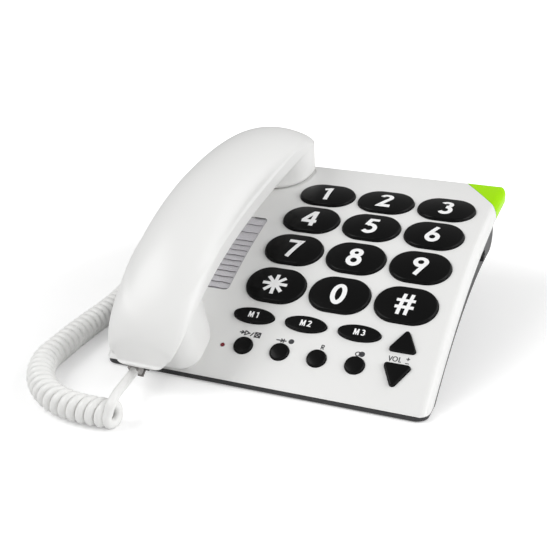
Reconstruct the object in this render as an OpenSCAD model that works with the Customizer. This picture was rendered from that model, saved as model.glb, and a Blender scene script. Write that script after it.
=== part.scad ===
// Corded desk telephone. A wide, low base with a curved face carries large keys, and the handset lies
// along its left side in two round cradle seats. A curly cord joins the handset's front end to the
// socket in the base's left side.
// Sizes are in millimetres. X runs to the right, Y to the back and Z up. Z = 0 is the desk, and the
// origin is the middle of the footprint of base and handset together.
// Places on the face are given as x, from the base's middle, and s, the distance up the curved face
// from the middle of the number keys.

/* [Base] */
// Distance from the base's left edge to the handset's middle
handset_side = 41.1; // [40.5:0.1:42]
// Distance from the handset's middle to the left edges of the number keys
keypad_gap = 27.4; // [27:0.1:28.4]
// Distance from the number keys' right edges to the base's right edge
keypad_side = 11.5; // [11:0.5:12.5]
// Depth of the base, front to back
base_d = 208; // [204:1:214]
// Radius of the curved face, seen from the side
face_r = 384; // [370:1:400]
// Height of the face where it meets the front
face_front_h = 3.3; // [3:0.1:5]
// Slope of the face at the front, in degrees
face_front_slope = 35.5; // [34.5:0.1:36.5]
// Wall thickness of the two base mouldings
wall = 2.2; // [1.8:0.1:2.6]
// Rounding along the left and right edges of the face
edge_r = 5; // [4:0.5:7.5]
// Rounding of the base's upright corners, seen from above
corner_r = 8; // [6:0.5:12]
// Rounding of the front edge
nose_r = 5; // [4:0.5:7]
// Rounding of the rear edge
rear_edge_r = 2; // [1.5:0.5:4]
// Depth of the white skirt below the face
skirt_h = 8; // [7:0.5:9]
// Height of the white skirt's lower edge along the front
seam_z = 3.6; // [3:0.1:4.5]

/* [Bottom shell] */
// Height of the bottom shell's flat underside above the desk
tray_z = 0.8; // [0.5:0.1:1.2]
// How far the bottom shell's sides stand in from the white skirt
tray_inset = 0.8; // [0.5:0.1:1.5]
// Radius of the curved underside
under_r = 250; // [240:1:265]
// Length of the flat underside, from the front
under_start = 22; // [20:0.5:24]
// Slope of the underside where it leaves the flat, in degrees
under_slope = 34.7; // [34:0.1:35.2]
// Distance from the front to the bottom shell's rear wall
tray_d = 166; // [163:1:168]
// Rounding of the lower rear edge of the bottom shell
tray_end_r = 9; // [6:1:12]
// Thickness of the plate that closes the underside behind the rear wall
rear_plate_t = 1.8; // [1.4:0.1:2.2]

/* [Desk stand] */
// Width of the stand under the rear of the base
stand_w = 142; // [130:1:150]
// Distance from the front of the base to the stand
stand_y = 108; // [106:1:112]
// Depth of the stand, front to back
stand_d = 54; // [48:1:56]
// Wall thickness of the stand
stand_wall = 2.5; // [2:0.1:3]

/* [Number keys] */
// Distance up the face from the front to the number keys' middle
keypad_up = 122.6; // [121:0.2:124]
// Space between neighbouring number keys in a row
key_space_x = 3; // [2.5:0.1:3.5]
// Space between one row of number keys and the next, along the face
key_space_s = 5.1; // [4.8:0.1:5.4]
// Width of a number key
key_w = 38; // [36:0.5:38.5]
// Height of a number key, along the face
key_h = 28; // [27:0.5:28.5]
// Height of a number key's crown above the face
key_rise = 3.2; // [2.8:0.1:3.6]
// Height of the domed part of a number key's crown
key_dome = 1.2; // [0.8:0.1:1.6]
// Rounding of a key's upper edge
key_edge_r = 1.4; // [1:0.1:1.6]
// Gap between a key and its opening
key_gap = 0.4; // [0.3:0.05:0.5]
// Travel of a number key
key_travel = 1.8; // [1.4:0.1:2]
// Depth of the number keys' board below the face, at its middle
board_depth = 11.6; // [11.5:0.1:11.8]

/* [Small keys] */
// Width of a memory key
memory_w = 26; // [24:0.5:27]
// Height of a memory key, along the face
memory_h = 11; // [10:0.5:12]
// Spacing of the memory keys
memory_pitch = 33; // [32:0.5:34]
// Distance from the number keys' lower edges down to the memory keys' middles
memory_drop = 12; // [11.4:0.1:12.4]
// Distance of the middle memory key from the base's right edge
memory_side = 84.4; // [83:0.2:86]
// Diameter of a round function key
round_d = 11.4; // [10:0.5:12]
// Spacing of the round function keys
round_pitch = 22.9; // [22:0.1:23.5]
// Distance from the memory keys' middles down to the round function keys' middles
round_drop = 21.7; // [21:0.1:22.4]
// Distance of the first round function key from the base's right edge
round_side = 116.7; // [116:0.1:118]
// Width of a volume key
volume_w = 17.2; // [16:0.2:18.4]
// Height of a volume key, along the face
volume_h = 16.2; // [15:0.2:17]
// Distance of the volume keys' middles from the base's right edge
volume_side = 24; // [23:0.2:25]
// Spacing of the two volume keys
volume_pitch = 24.6; // [23:0.2:25]
// Distance from the memory keys' middles down to the middle between the volume keys
volume_drop = 12.1; // [11.6:0.1:12.6]
// Height of a small key above the face
small_rise = 2; // [1.6:0.1:2.4]
// Travel of a small key
small_travel = 1.2; // [1:0.1:1.4]
// Depth of the small keys' board below the face
small_board_depth = 7.4; // [7.2:0.1:7.6]

/* [Ringer and indicators] */
// Length of the ringer lens along the rear edge
lens_w = 28; // [24:1:30]
// Length of the ringer lens along the right edge
lens_d = 44; // [40:1:48]
// Width of the ringer lens across its narrow leg
lens_leg = 3.4; // [3:0.1:4.5]
// Diameter of the status light
led_d = 2.6; // [2.4:0.1:3]
// Diameter of the ringer's loudspeaker
speaker_d = 36; // [32:1:38]
// Height of the ringer's loudspeaker
speaker_h = 8; // [7:0.5:9]

/* [Index card] */
// Width of the index card's window
card_w = 40; // [38:1:42]
// Length of the window, along the face
card_l = 71; // [68:1:73]
// Distance of the window's right edge from the base's left edge
card_side = 58.4; // [57.4:0.1:59.4]
// Place of the window's middle along the face
card_s = -23.5; // [-25:0.5:-22]
// Depth of the window's recess
card_recess = 1.15; // [1:0.05:1.2]

/* [Handset] */
// Width of the handset
handset_w = 50; // [48:0.5:51]
// Length of the handset
handset_l = 244; // [240:1:248]
// How far the base's middle lies behind the handset's middle
base_offset = 14; // [13:0.5:15]
// Slope of the handset, in degrees
handset_slope = 11.4; // [11:0.1:11.8]
// Height of the handset's middle plane above the desk
handset_z = 54.8; // [54.4:0.1:55.6]
// Height of the handset's crown above its middle plane
crown_h = 52.4; // [51:0.2:54]
// Height of the arched part of the handset's back
arch_h = 12.6; // [11:0.2:14]
// Height of the parting line above the middle plane, at the handle
rim_h = 26.2; // [25:0.2:27.6]
// Depth of the handle's rounded underside below the parting line
belly_h = 6; // [5:0.5:8]
// Wall thickness of the handset
handset_wall = 2.4; // [2:0.1:2.8]
// Width of the ear and mouth cups
cup_w = 48; // [46:0.5:49]
// Reach of the ear cup's round side towards the handle
ear_reach = 27; // [25:0.5:28]
// Reach of the mouth cup's round side towards the handle
mouth_reach = 23; // [22:0.5:25]
// Reach of either cup towards its end of the handset
cup_end = 21; // [19:0.5:22]
// Place of the ear cup along the face
ear_s = 75; // [74:0.5:76]
// Distance of the mouth cup's middle behind the base's front
mouth_y = 12; // [11:0.5:14]
// Height of the mouth cup's lower face above the desk, at its middle
mouth_z = 16.2; // [15.6:0.2:17]
// Slope of the mouth cup, in degrees
mouth_slope = 23; // [22:0.5:24]
// Depth of the ear cup's seat in the face
seat_depth = 1; // [0.8:0.1:1.2]
// Travel of the hook plunger
hook_travel = 4; // [3:0.5:4.5]

/* [Cord] */
// Diameter of the straight ends of the cord
cord_d = 5; // [4.6:0.1:5.4]
// Outer diameter of the coiled cord
coil_d = 16.5; // [16:0.5:17]

/* [Hidden] */

// Clearances between neighbouring pieces
seam = 0.3;
fit = 0.15;
cut = 1;

// Places across the phone, from the base's middle
key_pitch_x = key_w + key_space_x;
base_w = handset_side + keypad_gap + 2 * key_pitch_x + key_w + keypad_side;
handset_x = base_w / 2 - handset_side;
keypad_x = base_w / 2 - keypad_side - key_w / 2 - key_pitch_x;
memory_x = base_w / 2 - memory_side;
round_x = base_w / 2 - round_side;
volume_x = base_w / 2 - volume_side;
card_x = base_w / 2 - card_side;

// Places along the face, from the number keys' middle
key_pitch_s = key_h + key_space_s;
memory_s = -1.5 * key_pitch_s - key_h / 2 - memory_drop;
round_s = memory_s - round_drop;
volume_s = memory_s - volume_drop;

// The whole phone, seen from the side
mid_y = base_offset;
front_y = mid_y - base_d / 2;
rear_y = mid_y + base_d / 2;
axis_y = front_y + face_r * sin(face_front_slope);
axis_z = face_front_h - face_r * cos(face_front_slope);
under_y = front_y + under_start + under_r * sin(under_slope);
under_z = tray_z - under_r * cos(under_slope);
tray_end_y = front_y + tray_d;

// Degrees of slope of the face at a place s, and that place's Y and Z
function slope_at(s) = face_front_slope - (keypad_up + s) * 180 / (PI * face_r);
function face_y(s) = axis_y - face_r * sin(slope_at(s));
function face_z(s) = axis_z + face_r * cos(slope_at(s));
// Height of the curved underside at a given Y
function underside_z(y) = under_z + sqrt(under_r * under_r - pow(y - under_y, 2));
function under_slope_at(y) = asin((under_y - y) / under_r);
// Depth below the face, at s, of a flat board that lies at a depth below the face at board_s
function depth_to_board(s, board_s, depth) =
  face_r - (face_r - depth) / cos(slope_at(s) - slope_at(board_s));

function arc(cx, cy, r, a0, a1, n) =
  [for (i = [0:n]) [cx + r * cos(a0 + (a1 - a0) * i / n), cy + r * sin(a0 + (a1 - a0) * i / n)]];
function round_rect(w, d, r, n = 6) = concat(
  arc(w / 2 - r, d / 2 - r, r, 0, 90, n),
  arc(r - w / 2, d / 2 - r, r, 90, 180, n),
  arc(r - w / 2, r - d / 2, r, 180, 270, n),
  arc(w / 2 - r, r - d / 2, r, 270, 360, n));
function ellipse(w, h, n = 48) = [for (i = [0:n - 1]) [w / 2 * cos(360 * i / n), h / 2 * sin(360 * i / n)]];

// Puts its children on the face at x and s, with Z out of the face and Y up it
module on_face(x, s) {
  translate([x, face_y(s), face_z(s)])
    rotate([slope_at(s), 0, 0])
      children();
}

// Puts its children on the curved underside at x and y, with Z into the base
module on_underside(x, y, h = 0) {
  translate([x, y, underside_z(y)])
    rotate([under_slope_at(y), 0, 0])
      translate([0, 0, h])
        children();
}

// Extrudes an outline of Y and Z along X
module side_extrude(w) {
  rotate([90, 0, 90])
    translate([0, 0, -w / 2])
      linear_extrude(height = w)
        children();
}

// A drum about the axis of the face's curve, with rounded rims
module drum(r, w, edge) {
  translate([0, axis_y, axis_z])
    rotate([0, 90, 0])
      rotate_extrude($fn = 360)
        polygon(concat([[r - 90, -w / 2]], arc(r - edge, edge - w / 2, edge, -90, 0, 6),
          arc(r - edge, w / 2 - edge, edge, 0, 90, 6), [[r - 90, w / 2]]));
}

module plain_drum(r, w) {
  translate([0, axis_y, axis_z])
    rotate([0, 90, 0])
      cylinder(h = w, r = r, center = true, $fn = 360);
}

// The base's plan, as an upright block
module plan_block(inset, z0, z1) {
  translate([0, mid_y, z0])
    linear_extrude(height = z1 - z0)
      polygon(round_rect(base_w - 2 * inset, base_d - 2 * inset, corner_r - inset));
}

// Outline of the base from the side, with its rounded front and rear edges, open above the face
rear_s = (face_front_slope - asin((axis_y - rear_y) / face_r)) * PI * face_r / 180 - keypad_up;
front_turn = 90 - face_front_slope - 6;
rear_turn = 90 - slope_at(rear_s) - 8;
module side_outline(inset) {
  r = nose_r - inset;
  front_cy = front_y + nose_r;
  front_cz = axis_z + sqrt(pow(face_r - nose_r, 2) - pow(axis_y - front_cy, 2));
  r_rear = max(rear_edge_r - inset, 0.3);
  rear_cy = rear_y - inset - r_rear;
  rear_cz = axis_z + sqrt(pow(face_r - inset - r_rear, 2) - pow(axis_y - rear_cy, 2));
  polygon(concat(
    [[front_y + inset, -20]],
    arc(front_cy, front_cz, r, 180, 180 - front_turn, 6),
    [[front_y + 60, 110], [rear_y - 60, 110]],
    arc(rear_cy, rear_cz, r_rear, rear_turn, 0, 6),
    [[rear_y - inset, -20]]));
}

// The space inside the base's outer skin, moved in by inset
module base_space(inset, z0) {
  intersection() {
    drum(face_r - inset, base_w - 2 * inset, edge_r - inset);
    plan_block(inset, z0, 120);
    side_extrude(base_w + 2)
      side_outline(inset);
  }
}

// A slice of the curved face under the children's outline, from h0 to h1 above the face
module face_patch(x, s, h0, h1) {
  intersection() {
    difference() {
      plain_drum(face_r + h1, base_w);
      plain_drum(face_r + h0, base_w + 2);
    }
    on_face(x, s)
      translate([0, 0, -10])
        linear_extrude(height = 20)
          children();
  }
}

// ---- Keys ----
number_keys = [for (row = [0:3], col = [0:2])
  [keypad_x + (col - 1) * key_pitch_x, (1.5 - row) * key_pitch_s]];
memory_keys = [for (i = [-1:1]) [memory_x + i * memory_pitch, memory_s]];
round_keys = [for (i = [0:3]) [round_x + i * round_pitch, round_s]];
volume_keys = [for (i = [1, -1]) [volume_x, volume_s + i * volume_pitch / 2]];
small_keys = concat(memory_keys, round_keys, volume_keys);
small_board_s = volume_s;

flange_t = 1.1;
flange_w = 1.1;
mat_t = 1;
dome_t = 0.8;
press_gap = 0.5;
stem_r = 2.6;
volume_r = 1.6;
board_t = 1.6;

module pill(w, h) {
  for (side = [-1, 1])
    translate([side * (w - h) / 2, 0])
      circle(d = h, $fn = 64);
  square([w - h, h], center = true);
}

// Half section of a domed key crown of radius r, from z0 up to the rise
function crown_section(r, z0, rise, dome, edge) = concat(
  [[0, z0], [r, z0]],
  arc(r - edge, rise - dome - edge, edge, 0, 75, 4),
  [for (i = [3:-1:0]) [(r - edge) * i / 4, rise - dome * pow(i / 4, 2)]]);

module pill_crown(w, h, z0, rise, dome, edge) {
  flat = w - h;
  for (side = [-1, 1])
    translate([side * flat / 2, 0, 0])
      rotate([0, 0, -side * 90])
        rotate_extrude(angle = 180, $fn = 64)
          polygon(crown_section(h / 2, z0, rise, dome, edge));
  for (side = [0, 1])
    rotate([90, 0, 90 + side * 180])
      translate([0, 0, -flat / 2])
        linear_extrude(height = flat)
          polygon(crown_section(h / 2, z0, rise, dome, edge));
}

module number_key(i) {
  x = number_keys[i][0];
  s = number_keys[i][1];
  top = -(wall + seam + pow(key_h / 2, 2) / (2 * face_r));
  stem_end = depth_to_board(s, 0, board_depth) - mat_t - dome_t - press_gap - key_travel;
  on_face(x, s) {
    difference() {
      union() {
        pill_crown(key_w, key_h, top - flange_t, key_rise, key_dome, key_edge_r);
        translate([0, 0, top - flange_t])
          linear_extrude(height = flange_t)
            pill(key_w + 2 * flange_w, key_h + 2 * flange_w);
      }
      translate([0, 0, top - flange_t - cut])
        linear_extrude(height = flange_t - top + cut)
          pill(key_w - 2 * wall, key_h - 2 * wall);
    }
    translate([0, 0, -stem_end])
      cylinder(h = stem_end + 0.5, r = stem_r, $fn = 32);
  }
}

// A small key: the crown comes as the first child, and its flange's outline as the second
module small_key(x, s) {
  top = -(wall + seam + 0.1);
  stem_end = depth_to_board(s, small_board_s, small_board_depth) - mat_t - dome_t - press_gap - small_travel;
  on_face(x, s) {
    children(0);
    translate([0, 0, top - flange_t])
      linear_extrude(height = flange_t)
        children(1);
    translate([0, 0, -stem_end])
      cylinder(h = stem_end + top, r = stem_r, $fn = 32);
  }
}

module memory_key(i) {
  small_key(memory_keys[i][0], memory_s) {
    union() {
      translate([0, 0, -wall - 1])
        linear_extrude(height = wall + 1 + small_rise - 0.5)
          polygon(ellipse(memory_w, memory_h));
      translate([0, 0, small_rise - 0.5])
        linear_extrude(height = 0.5)
          polygon(ellipse(memory_w - 1.4, memory_h - 1.4));
    }
    polygon(ellipse(memory_w + 2 * flange_w, memory_h + 2 * flange_w));
  }
}

module round_key(i) {
  small_key(round_keys[i][0], round_s) {
    rotate_extrude($fn = 64)
      polygon(crown_section(round_d / 2, -wall - 1, small_rise, 0.5, 0.8));
    circle(d = round_d + 2 * flange_w, $fn = 64);
  }
}

// A triangle with rounded corners that points up the face, and grows evenly all round
function triangle(w, h, r, grow = 0) =
  let (a = atan2(h, w / 2), side = r / tan(a / 2), q = r + grow)
  concat(
    arc(0, h / 2 - r / cos(a), q, 90 - a, 90 + a, 4),
    arc(side - w / 2, r - h / 2, q, 90 + a, 270, 4),
    arc(w / 2 - side, r - h / 2, q, 270, 450 - a, 4));

module volume_key(i) {
  turn = i == 0 ? 0 : 180;
  small_key(volume_x, volume_keys[i][1]) {
    rotate([0, 0, turn]) {
      translate([0, 0, -wall - 1])
        linear_extrude(height = wall + 1 + small_rise - 0.5)
          polygon(triangle(volume_w, volume_h, volume_r));
      translate([0, 0, small_rise - 0.5])
        linear_extrude(height = 0.5)
          polygon(triangle(volume_w, volume_h, volume_r, -0.8));
    }
    rotate([0, 0, turn])
      polygon(triangle(volume_w, volume_h, volume_r, flange_w));
  }
}

// Openings for all the keys, through the face
module key_openings() {
  for (key = number_keys)
    on_face(key[0], key[1])
      translate([0, 0, -6])
        linear_extrude(height = 12)
          pill(key_w + 2 * key_gap, key_h + 2 * key_gap);
  for (key = memory_keys)
    on_face(key[0], key[1])
      translate([0, 0, -6])
        linear_extrude(height = 12)
          polygon(ellipse(memory_w + 2 * key_gap, memory_h + 2 * key_gap));
  for (key = round_keys)
    on_face(key[0], key[1])
      translate([0, 0, -6])
        cylinder(h = 12, d = round_d + 2 * key_gap, $fn = 64);
  for (i = [0, 1])
    on_face(volume_x, volume_keys[i][1])
      translate([0, 0, -6])
        rotate([0, 0, i * 180])
          linear_extrude(height = 12)
            polygon(triangle(volume_w, volume_h, volume_r, key_gap));
}

// ---- Boards, their posts and the key mats ----
keypad_board_w = 3 * key_pitch_x - 4;
keypad_board_back = 1.5 * key_pitch_s + 2.35;
keypad_board_front = 1.5 * key_pitch_s + 12.35;
led_x = round_x - 12.7;
led_s = round_s - 1.8;
small_board_x0 = led_x - 4.6;
small_board_x1 = volume_x + volume_w / 2 + 1.4;
small_board_front = volume_pitch / 2 + stem_r + 1.6;
small_board_back = max(volume_pitch / 2, volume_drop) + stem_r + 1.6;
keypad_posts = [for (x = [-0.5, 0.5], s = [-1, 1]) [x * key_pitch_x, s * key_pitch_s]];
small_posts = [[-24, 0.8], [36, 0.8]];
main_s = -26;
main_x = -handset_x - 7.1;
main_board_w = 44;
main_board_l = 60;
main_posts = [for (x = [-1, 1], y = [-1, 1]) [x * (main_board_w / 2 - 4), y * (main_board_l / 2 - 4)]];
main_depth = 7.6;
post_r = 3;
pilot_r = 1.1;
screw_r = 1;
screw_head_r = 2;
board_head_h = 0.9;

// The frame of the number keys' board: Z = 0 is its upper side
module at_keypad_board() {
  on_face(keypad_x, 0)
    translate([0, 0, -board_depth])
      children();
}

module at_small_board() {
  on_face(memory_x, small_board_s)
    translate([0, 0, -small_board_depth])
      children();
}

module at_main_board() {
  on_face(main_x, main_s)
    translate([0, 0, -main_depth])
      children();
}

module board_posts() {
  at_main_board()
    for (post = main_posts)
      translate([post[0], post[1], seam])
        difference() {
          cylinder(h = main_depth - 1.6 - seam - pow(post[1], 2) / (2 * face_r), r = post_r, $fn = 32);
          translate([0, 0, -cut])
            cylinder(h = 4 + cut, r = pilot_r, $fn = 24);
        }
  at_keypad_board()
    for (post = keypad_posts)
      translate([post[0], post[1], seam])
        difference() {
          cylinder(h = board_depth - 1 - seam - pow(post[1], 2) / (2 * face_r), r = post_r, $fn = 32);
          translate([0, 0, -cut])
            cylinder(h = 5 + cut, r = pilot_r, $fn = 24);
        }
  at_small_board()
    for (post = small_posts)
      translate([post[0], post[1], seam])
        difference() {
          cylinder(h = small_board_depth - 1 - seam, r = post_r, $fn = 32);
          translate([0, 0, -cut])
            cylinder(h = 4 + cut, r = pilot_r, $fn = 24);
        }
}

module screw(length, head_h) {
  translate([0, 0, -head_h])
    cylinder(h = head_h, r = screw_head_r, $fn = 24);
  cylinder(h = length, r = screw_r, $fn = 24);
}

module keypad_board() {
  color("darkgreen")
    at_keypad_board()
      difference() {
        translate([-keypad_board_w / 2, -keypad_board_front, -board_t])
          cube([keypad_board_w, keypad_board_front + keypad_board_back, board_t]);
        for (post = keypad_posts)
          translate([post[0], post[1], -board_t - cut])
            cylinder(h = board_t + 2 * cut, r = pilot_r + 0.2, $fn = 24);
      }
}

module small_key_board() {
  color("darkgreen")
    at_small_board()
      difference() {
        translate([small_board_x0 - memory_x, -small_board_front, -board_t])
          cube([small_board_x1 - small_board_x0, small_board_front + small_board_back, board_t]);
        for (post = small_posts)
          translate([post[0], post[1], -board_t - cut])
            cylinder(h = board_t + 2 * cut, r = pilot_r + 0.2, $fn = 24);
      }
}

module board_screws() {
  color("silver") {
    at_main_board()
      for (post = main_posts)
        translate([post[0], post[1], -board_t])
          screw(board_t + 4, board_head_h);
    at_keypad_board()
      for (post = keypad_posts)
        translate([post[0], post[1], -board_t])
          screw(board_t + 4, board_head_h);
    at_small_board()
      for (post = small_posts)
        translate([post[0], post[1], -board_t])
          screw(board_t + 3, board_head_h);
  }
}

// A rubber sheet on a board, with one pressed dome under each key
module key_mat(x0, x1, s0, s1, keys, board_x, board_s, depth, posts) {
  difference() {
    union() {
      translate([x0, s0, 0])
        cube([x1 - x0, s1 - s0, mat_t]);
      for (key = keys) {
        turn = slope_at(board_s) - slope_at(key[1]);
        translate([key[0] - board_x, (face_r - depth) * tan(turn), 0])
          cylinder(h = mat_t + dome_t, r1 = stem_r + 0.8, r2 = stem_r + 0.4, $fn = 32);
      }
    }
    for (post = posts)
      translate([post[0], post[1], -cut])
        cylinder(h = mat_t + 2 * cut, r = post_r + 0.4, $fn = 32);
  }
}

module number_key_mat() {
  color("dimgray")
    at_keypad_board()
      key_mat(-keypad_board_w / 2, keypad_board_w / 2, -keypad_board_front, keypad_board_back,
        number_keys, keypad_x, 0, board_depth, keypad_posts);
}

module small_key_mat() {
  color("dimgray")
    at_small_board()
      key_mat(small_board_x0 - memory_x + 8, small_board_x1 - memory_x - 1, 1 - small_board_front,
        small_board_back - 1, small_keys, memory_x, small_board_s, small_board_depth, small_posts);
}

// ---- Top shell ----
case_screw_x = base_w / 2 - 6.6;
case_screw_s = [-84, -33, 10];
case_post_r = 3.2;
case_post_end = 8.4;
hook_s = 51;
hook_r = 2.5;
hook_plunger_l = 9;
hook_switch_w = 8;
hook_switch_h = 7;

// Plan of a cup: a round side at negative Y and a square end with round corners at positive Y
cup_corner = 12;
function cup_outline(reach, inset) =
  let (w = cup_w / 2 - inset, end = cup_end - inset, r = cup_corner - inset)
  concat(
    [for (i = [0:20]) let (a = 180 + 9 * i) [w * cos(a), (reach - inset) * sin(a)]],
    arc(w - r, end - r, r, 0, 90, 6),
    arc(r - w, end - r, r, 90, 180, 6));

// The recesses in the face that the two cups sit in
module cup_seats() {
  on_face(-handset_x, ear_s)
    translate([0, 0, -seat_depth])
      linear_extrude(height = 30)
        polygon(cup_outline(ear_reach, -1));
  at_mouth()
    translate([0, 0, -seam])
      rotate([0, 0, 180])
        linear_extrude(height = 30)
          polygon(cup_outline(mouth_reach, -1));
}

// The frame of the mouth cup's lower face
module at_mouth() {
  translate([-handset_x, front_y + mouth_y, mouth_z])
    rotate([mouth_slope, 0, 0])
      children();
}

module lens_cutter(grow) {
  back = rear_s + 12;
  on_face(0, 0)
    translate([0, 0, -40])
      linear_extrude(height = 60)
        polygon([
          [base_w / 2 - lens_w - grow * 2, back],
          [base_w / 2 - lens_w - grow * 2, rear_s - rear_edge_r],
          [base_w / 2 - lens_leg - grow, rear_s - lens_d * 0.79],
          [base_w / 2 + 2, rear_s - lens_d - grow * 2],
          [base_w / 2 + 12, rear_s - lens_d - grow * 2],
          [base_w / 2 + 12, back]]);
}

// The raised pad that carries the mouth cup at the front left of the face
pad_d = 38;
module mouth_pad() {
  intersection() {
    at_mouth()
      translate([0, 0, -seam - 30])
        cylinder(h = 30, d = pad_d, $fn = 96);
    plan_block(wall / 2, seam_z, 60);
    translate([0, front_y + nose_r - 2, 0])
      translate([-base_w / 2, 0, seam_z])
        cube([base_w, 60, 60]);
  }
}

module skin() {
  difference() {
    base_space(0, seam_z);
    base_space(wall, -20);
    plain_drum(face_r - skirt_h, base_w + 2);
  }
}

module case_posts() {
  for (side = [-1, 1], s = case_screw_s)
    on_face(side * case_screw_x, s)
      translate([0, 0, -case_post_end])
        cylinder(h = case_post_end - 1, r = case_post_r, $fn = 32);
}

// The two ribs that hold the hook switch
module hook_switch_ribs() {
  on_face(-handset_x, hook_s)
    for (side = [0, 1])
      mirror([side, 0, 0])
        translate([hook_switch_w / 2 + fit, 1 - hook_switch_w, -hook_plunger_l - seam - hook_switch_h])
          cube([1.5, hook_switch_w, hook_plunger_l + seam + hook_switch_h - 1]);
}

module top_shell() {
  color("white")
    difference() {
      union() {
        hook_switch_ribs();
        difference() {
          skin();
          lens_cutter(fit);
        }
        difference() {
          mouth_pad();
          plain_drum(face_r - wall, base_w + 2);
        }
        intersection() {
          case_posts();
          base_space(wall / 2, -20);
        }
        board_posts();
      }
      for (side = [-1, 1], s = case_screw_s)
        on_face(side * case_screw_x, s)
          translate([0, 0, -case_post_end - cut])
            cylinder(h = 5.5 + cut, r = pilot_r, $fn = 24);
      key_openings();
      cup_seats();
      on_face(-handset_x, hook_s)
        translate([0, 0, -10])
          cylinder(h = 20, r = hook_r + fit, $fn = 32);
      on_face(led_x, led_s)
        translate([0, 0, -10])
          cylinder(h = 20, d = led_d + 2 * fit, $fn = 32);
      face_patch(-card_x - card_w / 2, card_s, -card_recess, 4)
        polygon(round_rect(card_w + 0.4, card_l + 0.4, 3));
    }
}

module ringer_lens() {
  color("yellowgreen")
    intersection() {
      skin();
      lens_cutter(-fit);
    }
}

module index_card() {
  color("lavender")
    face_patch(-card_x - card_w / 2, card_s, -card_recess + 0.05, -card_recess + 0.35)
      polygon(round_rect(card_w, card_l, 2.8));
}

module card_cover() {
  color([0.9, 0.95, 1, 0.3])
    face_patch(-card_x - card_w / 2, card_s, -card_recess + 0.45, -0.05)
      polygon(round_rect(card_w, card_l, 2.8));
}

// ---- Bottom shell ----
tray_w = base_w - 2 * tray_inset;

// The bottom shell's outline from the side, moved in by inset
module tray_outline(inset) {
  r_under = under_r + inset;
  z_floor = tray_z + inset;
  y_end = tray_end_y - inset;
  y_join = under_y - sqrt(r_under * r_under - pow(z_floor - under_z, 2));
  r_end = tray_end_r - inset;
  z_end = under_z + sqrt(pow(r_under + r_end, 2) - pow(y_end - r_end - under_y, 2));
  a_join = atan2(z_floor - under_z, y_join - under_y);
  a_end = atan2(z_end - under_z, y_end - r_end - under_y);
  polygon(concat(
    [[front_y + tray_inset + inset, 90], [front_y + tray_inset + inset, z_floor]],
    arc(under_y, under_z, r_under, a_join, a_end, 24),
    arc(y_end - r_end, z_end, r_end, a_end - 180, 0, 8),
    [[y_end, 90]]));
}

module tray_space(inset) {
  intersection() {
    side_extrude(base_w)
      tray_outline(inset);
    plan_block(tray_inset + inset, -5, 100);
  }
}

module rear_plate() {
  intersection() {
    difference() {
      plain_drum(face_r - skirt_h - seam, base_w + 2);
      plain_drum(face_r - skirt_h - seam - rear_plate_t, base_w + 4);
    }
    plan_block(tray_inset, -5, 100);
    translate([-base_w / 2, tray_end_y - wall, -5])
      cube([base_w, base_d, 100]);
  }
}

speaker_y = front_y + 130;
speaker_x = -handset_x - 3.1;
line_socket_x = 18.9 - handset_x;
plug_w = 7.7;
plug_h = 6.6;
jack_w = 13;
jack_h = 9.6;
jack_l = 14;
jack_cover = 2;
line_jack_w = 14;
line_jack_h = 11;
cord_jack_y = front_y + 148;
cord_jack_z = underside_z(cord_jack_y + jack_w / 2) + wall + seam + jack_h / 2;
line_jack_z = underside_z(tray_end_y - 8) + wall + 2 + line_jack_h / 2;
knob_y = front_y + 134.5;
knob_z = underside_z(knob_y) + wall + 4.5;
knob_travel = 6;
stand_bosses = [[-32, 0], [32, 0]];
stand_boss_h = 6;
stand_mid_y = front_y + stand_y + stand_d / 2;

module bottom_shell() {
  color("dimgray")
    difference() {
      intersection() {
        union() {
          difference() {
            tray_space(0);
            tray_space(wall);
          }
          rear_plate();
          intersection() {
            tray_space(wall / 2);
            tray_fittings();
          }
        }
        // The bottom shell ends just below the white skirt and its front edge
        union() {
          plain_drum(face_r - skirt_h - seam, base_w + 4);
          translate([-base_w, front_y - 5, -5])
            cube([2 * base_w, 40, seam_z - seam + 5]);
        }
      }
      for (side = [-1, 1], s = case_screw_s)
        on_face(side * case_screw_x, s) {
          translate([0, 0, -40])
            cylinder(h = 40, r = screw_r + 0.5, $fn = 24);
          translate([0, 0, -40])
            cylinder(h = 40 - case_post_end - 4, r = screw_head_r + 0.4, $fn = 24);
        }
      for (boss = stand_bosses)
        on_underside(boss[0], stand_mid_y + boss[1], -cut)
          cylinder(h = stand_boss_h - 1 + cut, r = pilot_r, $fn = 24);
      speaker_slots();
      jack_opening(-base_w / 2, cord_jack_y, cord_jack_z, 90, jack_w, jack_h);
      jack_opening(line_socket_x, tray_end_y, line_jack_z, 180, line_jack_w, line_jack_h);
      translate([base_w / 2 - 5, knob_y - 7, knob_z - 2])
        cube([10, 14, 4]);
      for (side = [-1, 1])
        translate([side * foot_x, front_y + foot_y, -cut])
          cylinder(h = foot_recess + tray_z + cut, r = foot_r + fit, $fn = 48);
    }
}

// The hole in an outer wall that a jack's face fills
module jack_opening(x, y, z, turn, w, h) {
  translate([x, y, z])
    rotate([0, 0, turn])
      translate([-w / 2 - fit, -wall * 2, -h / 2 - fit])
        cube([w + 2 * fit, wall * 4, h + 2 * fit]);
}

module speaker_slots() {
  on_underside(speaker_x, speaker_y, -cut)
    for (i = [-3:3])
      translate([i * 4 - 1, -sqrt(169 - 16 * i * i), 0])
        cube([2, 2 * sqrt(169 - 16 * i * i), wall + 2 * cut]);
}

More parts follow.
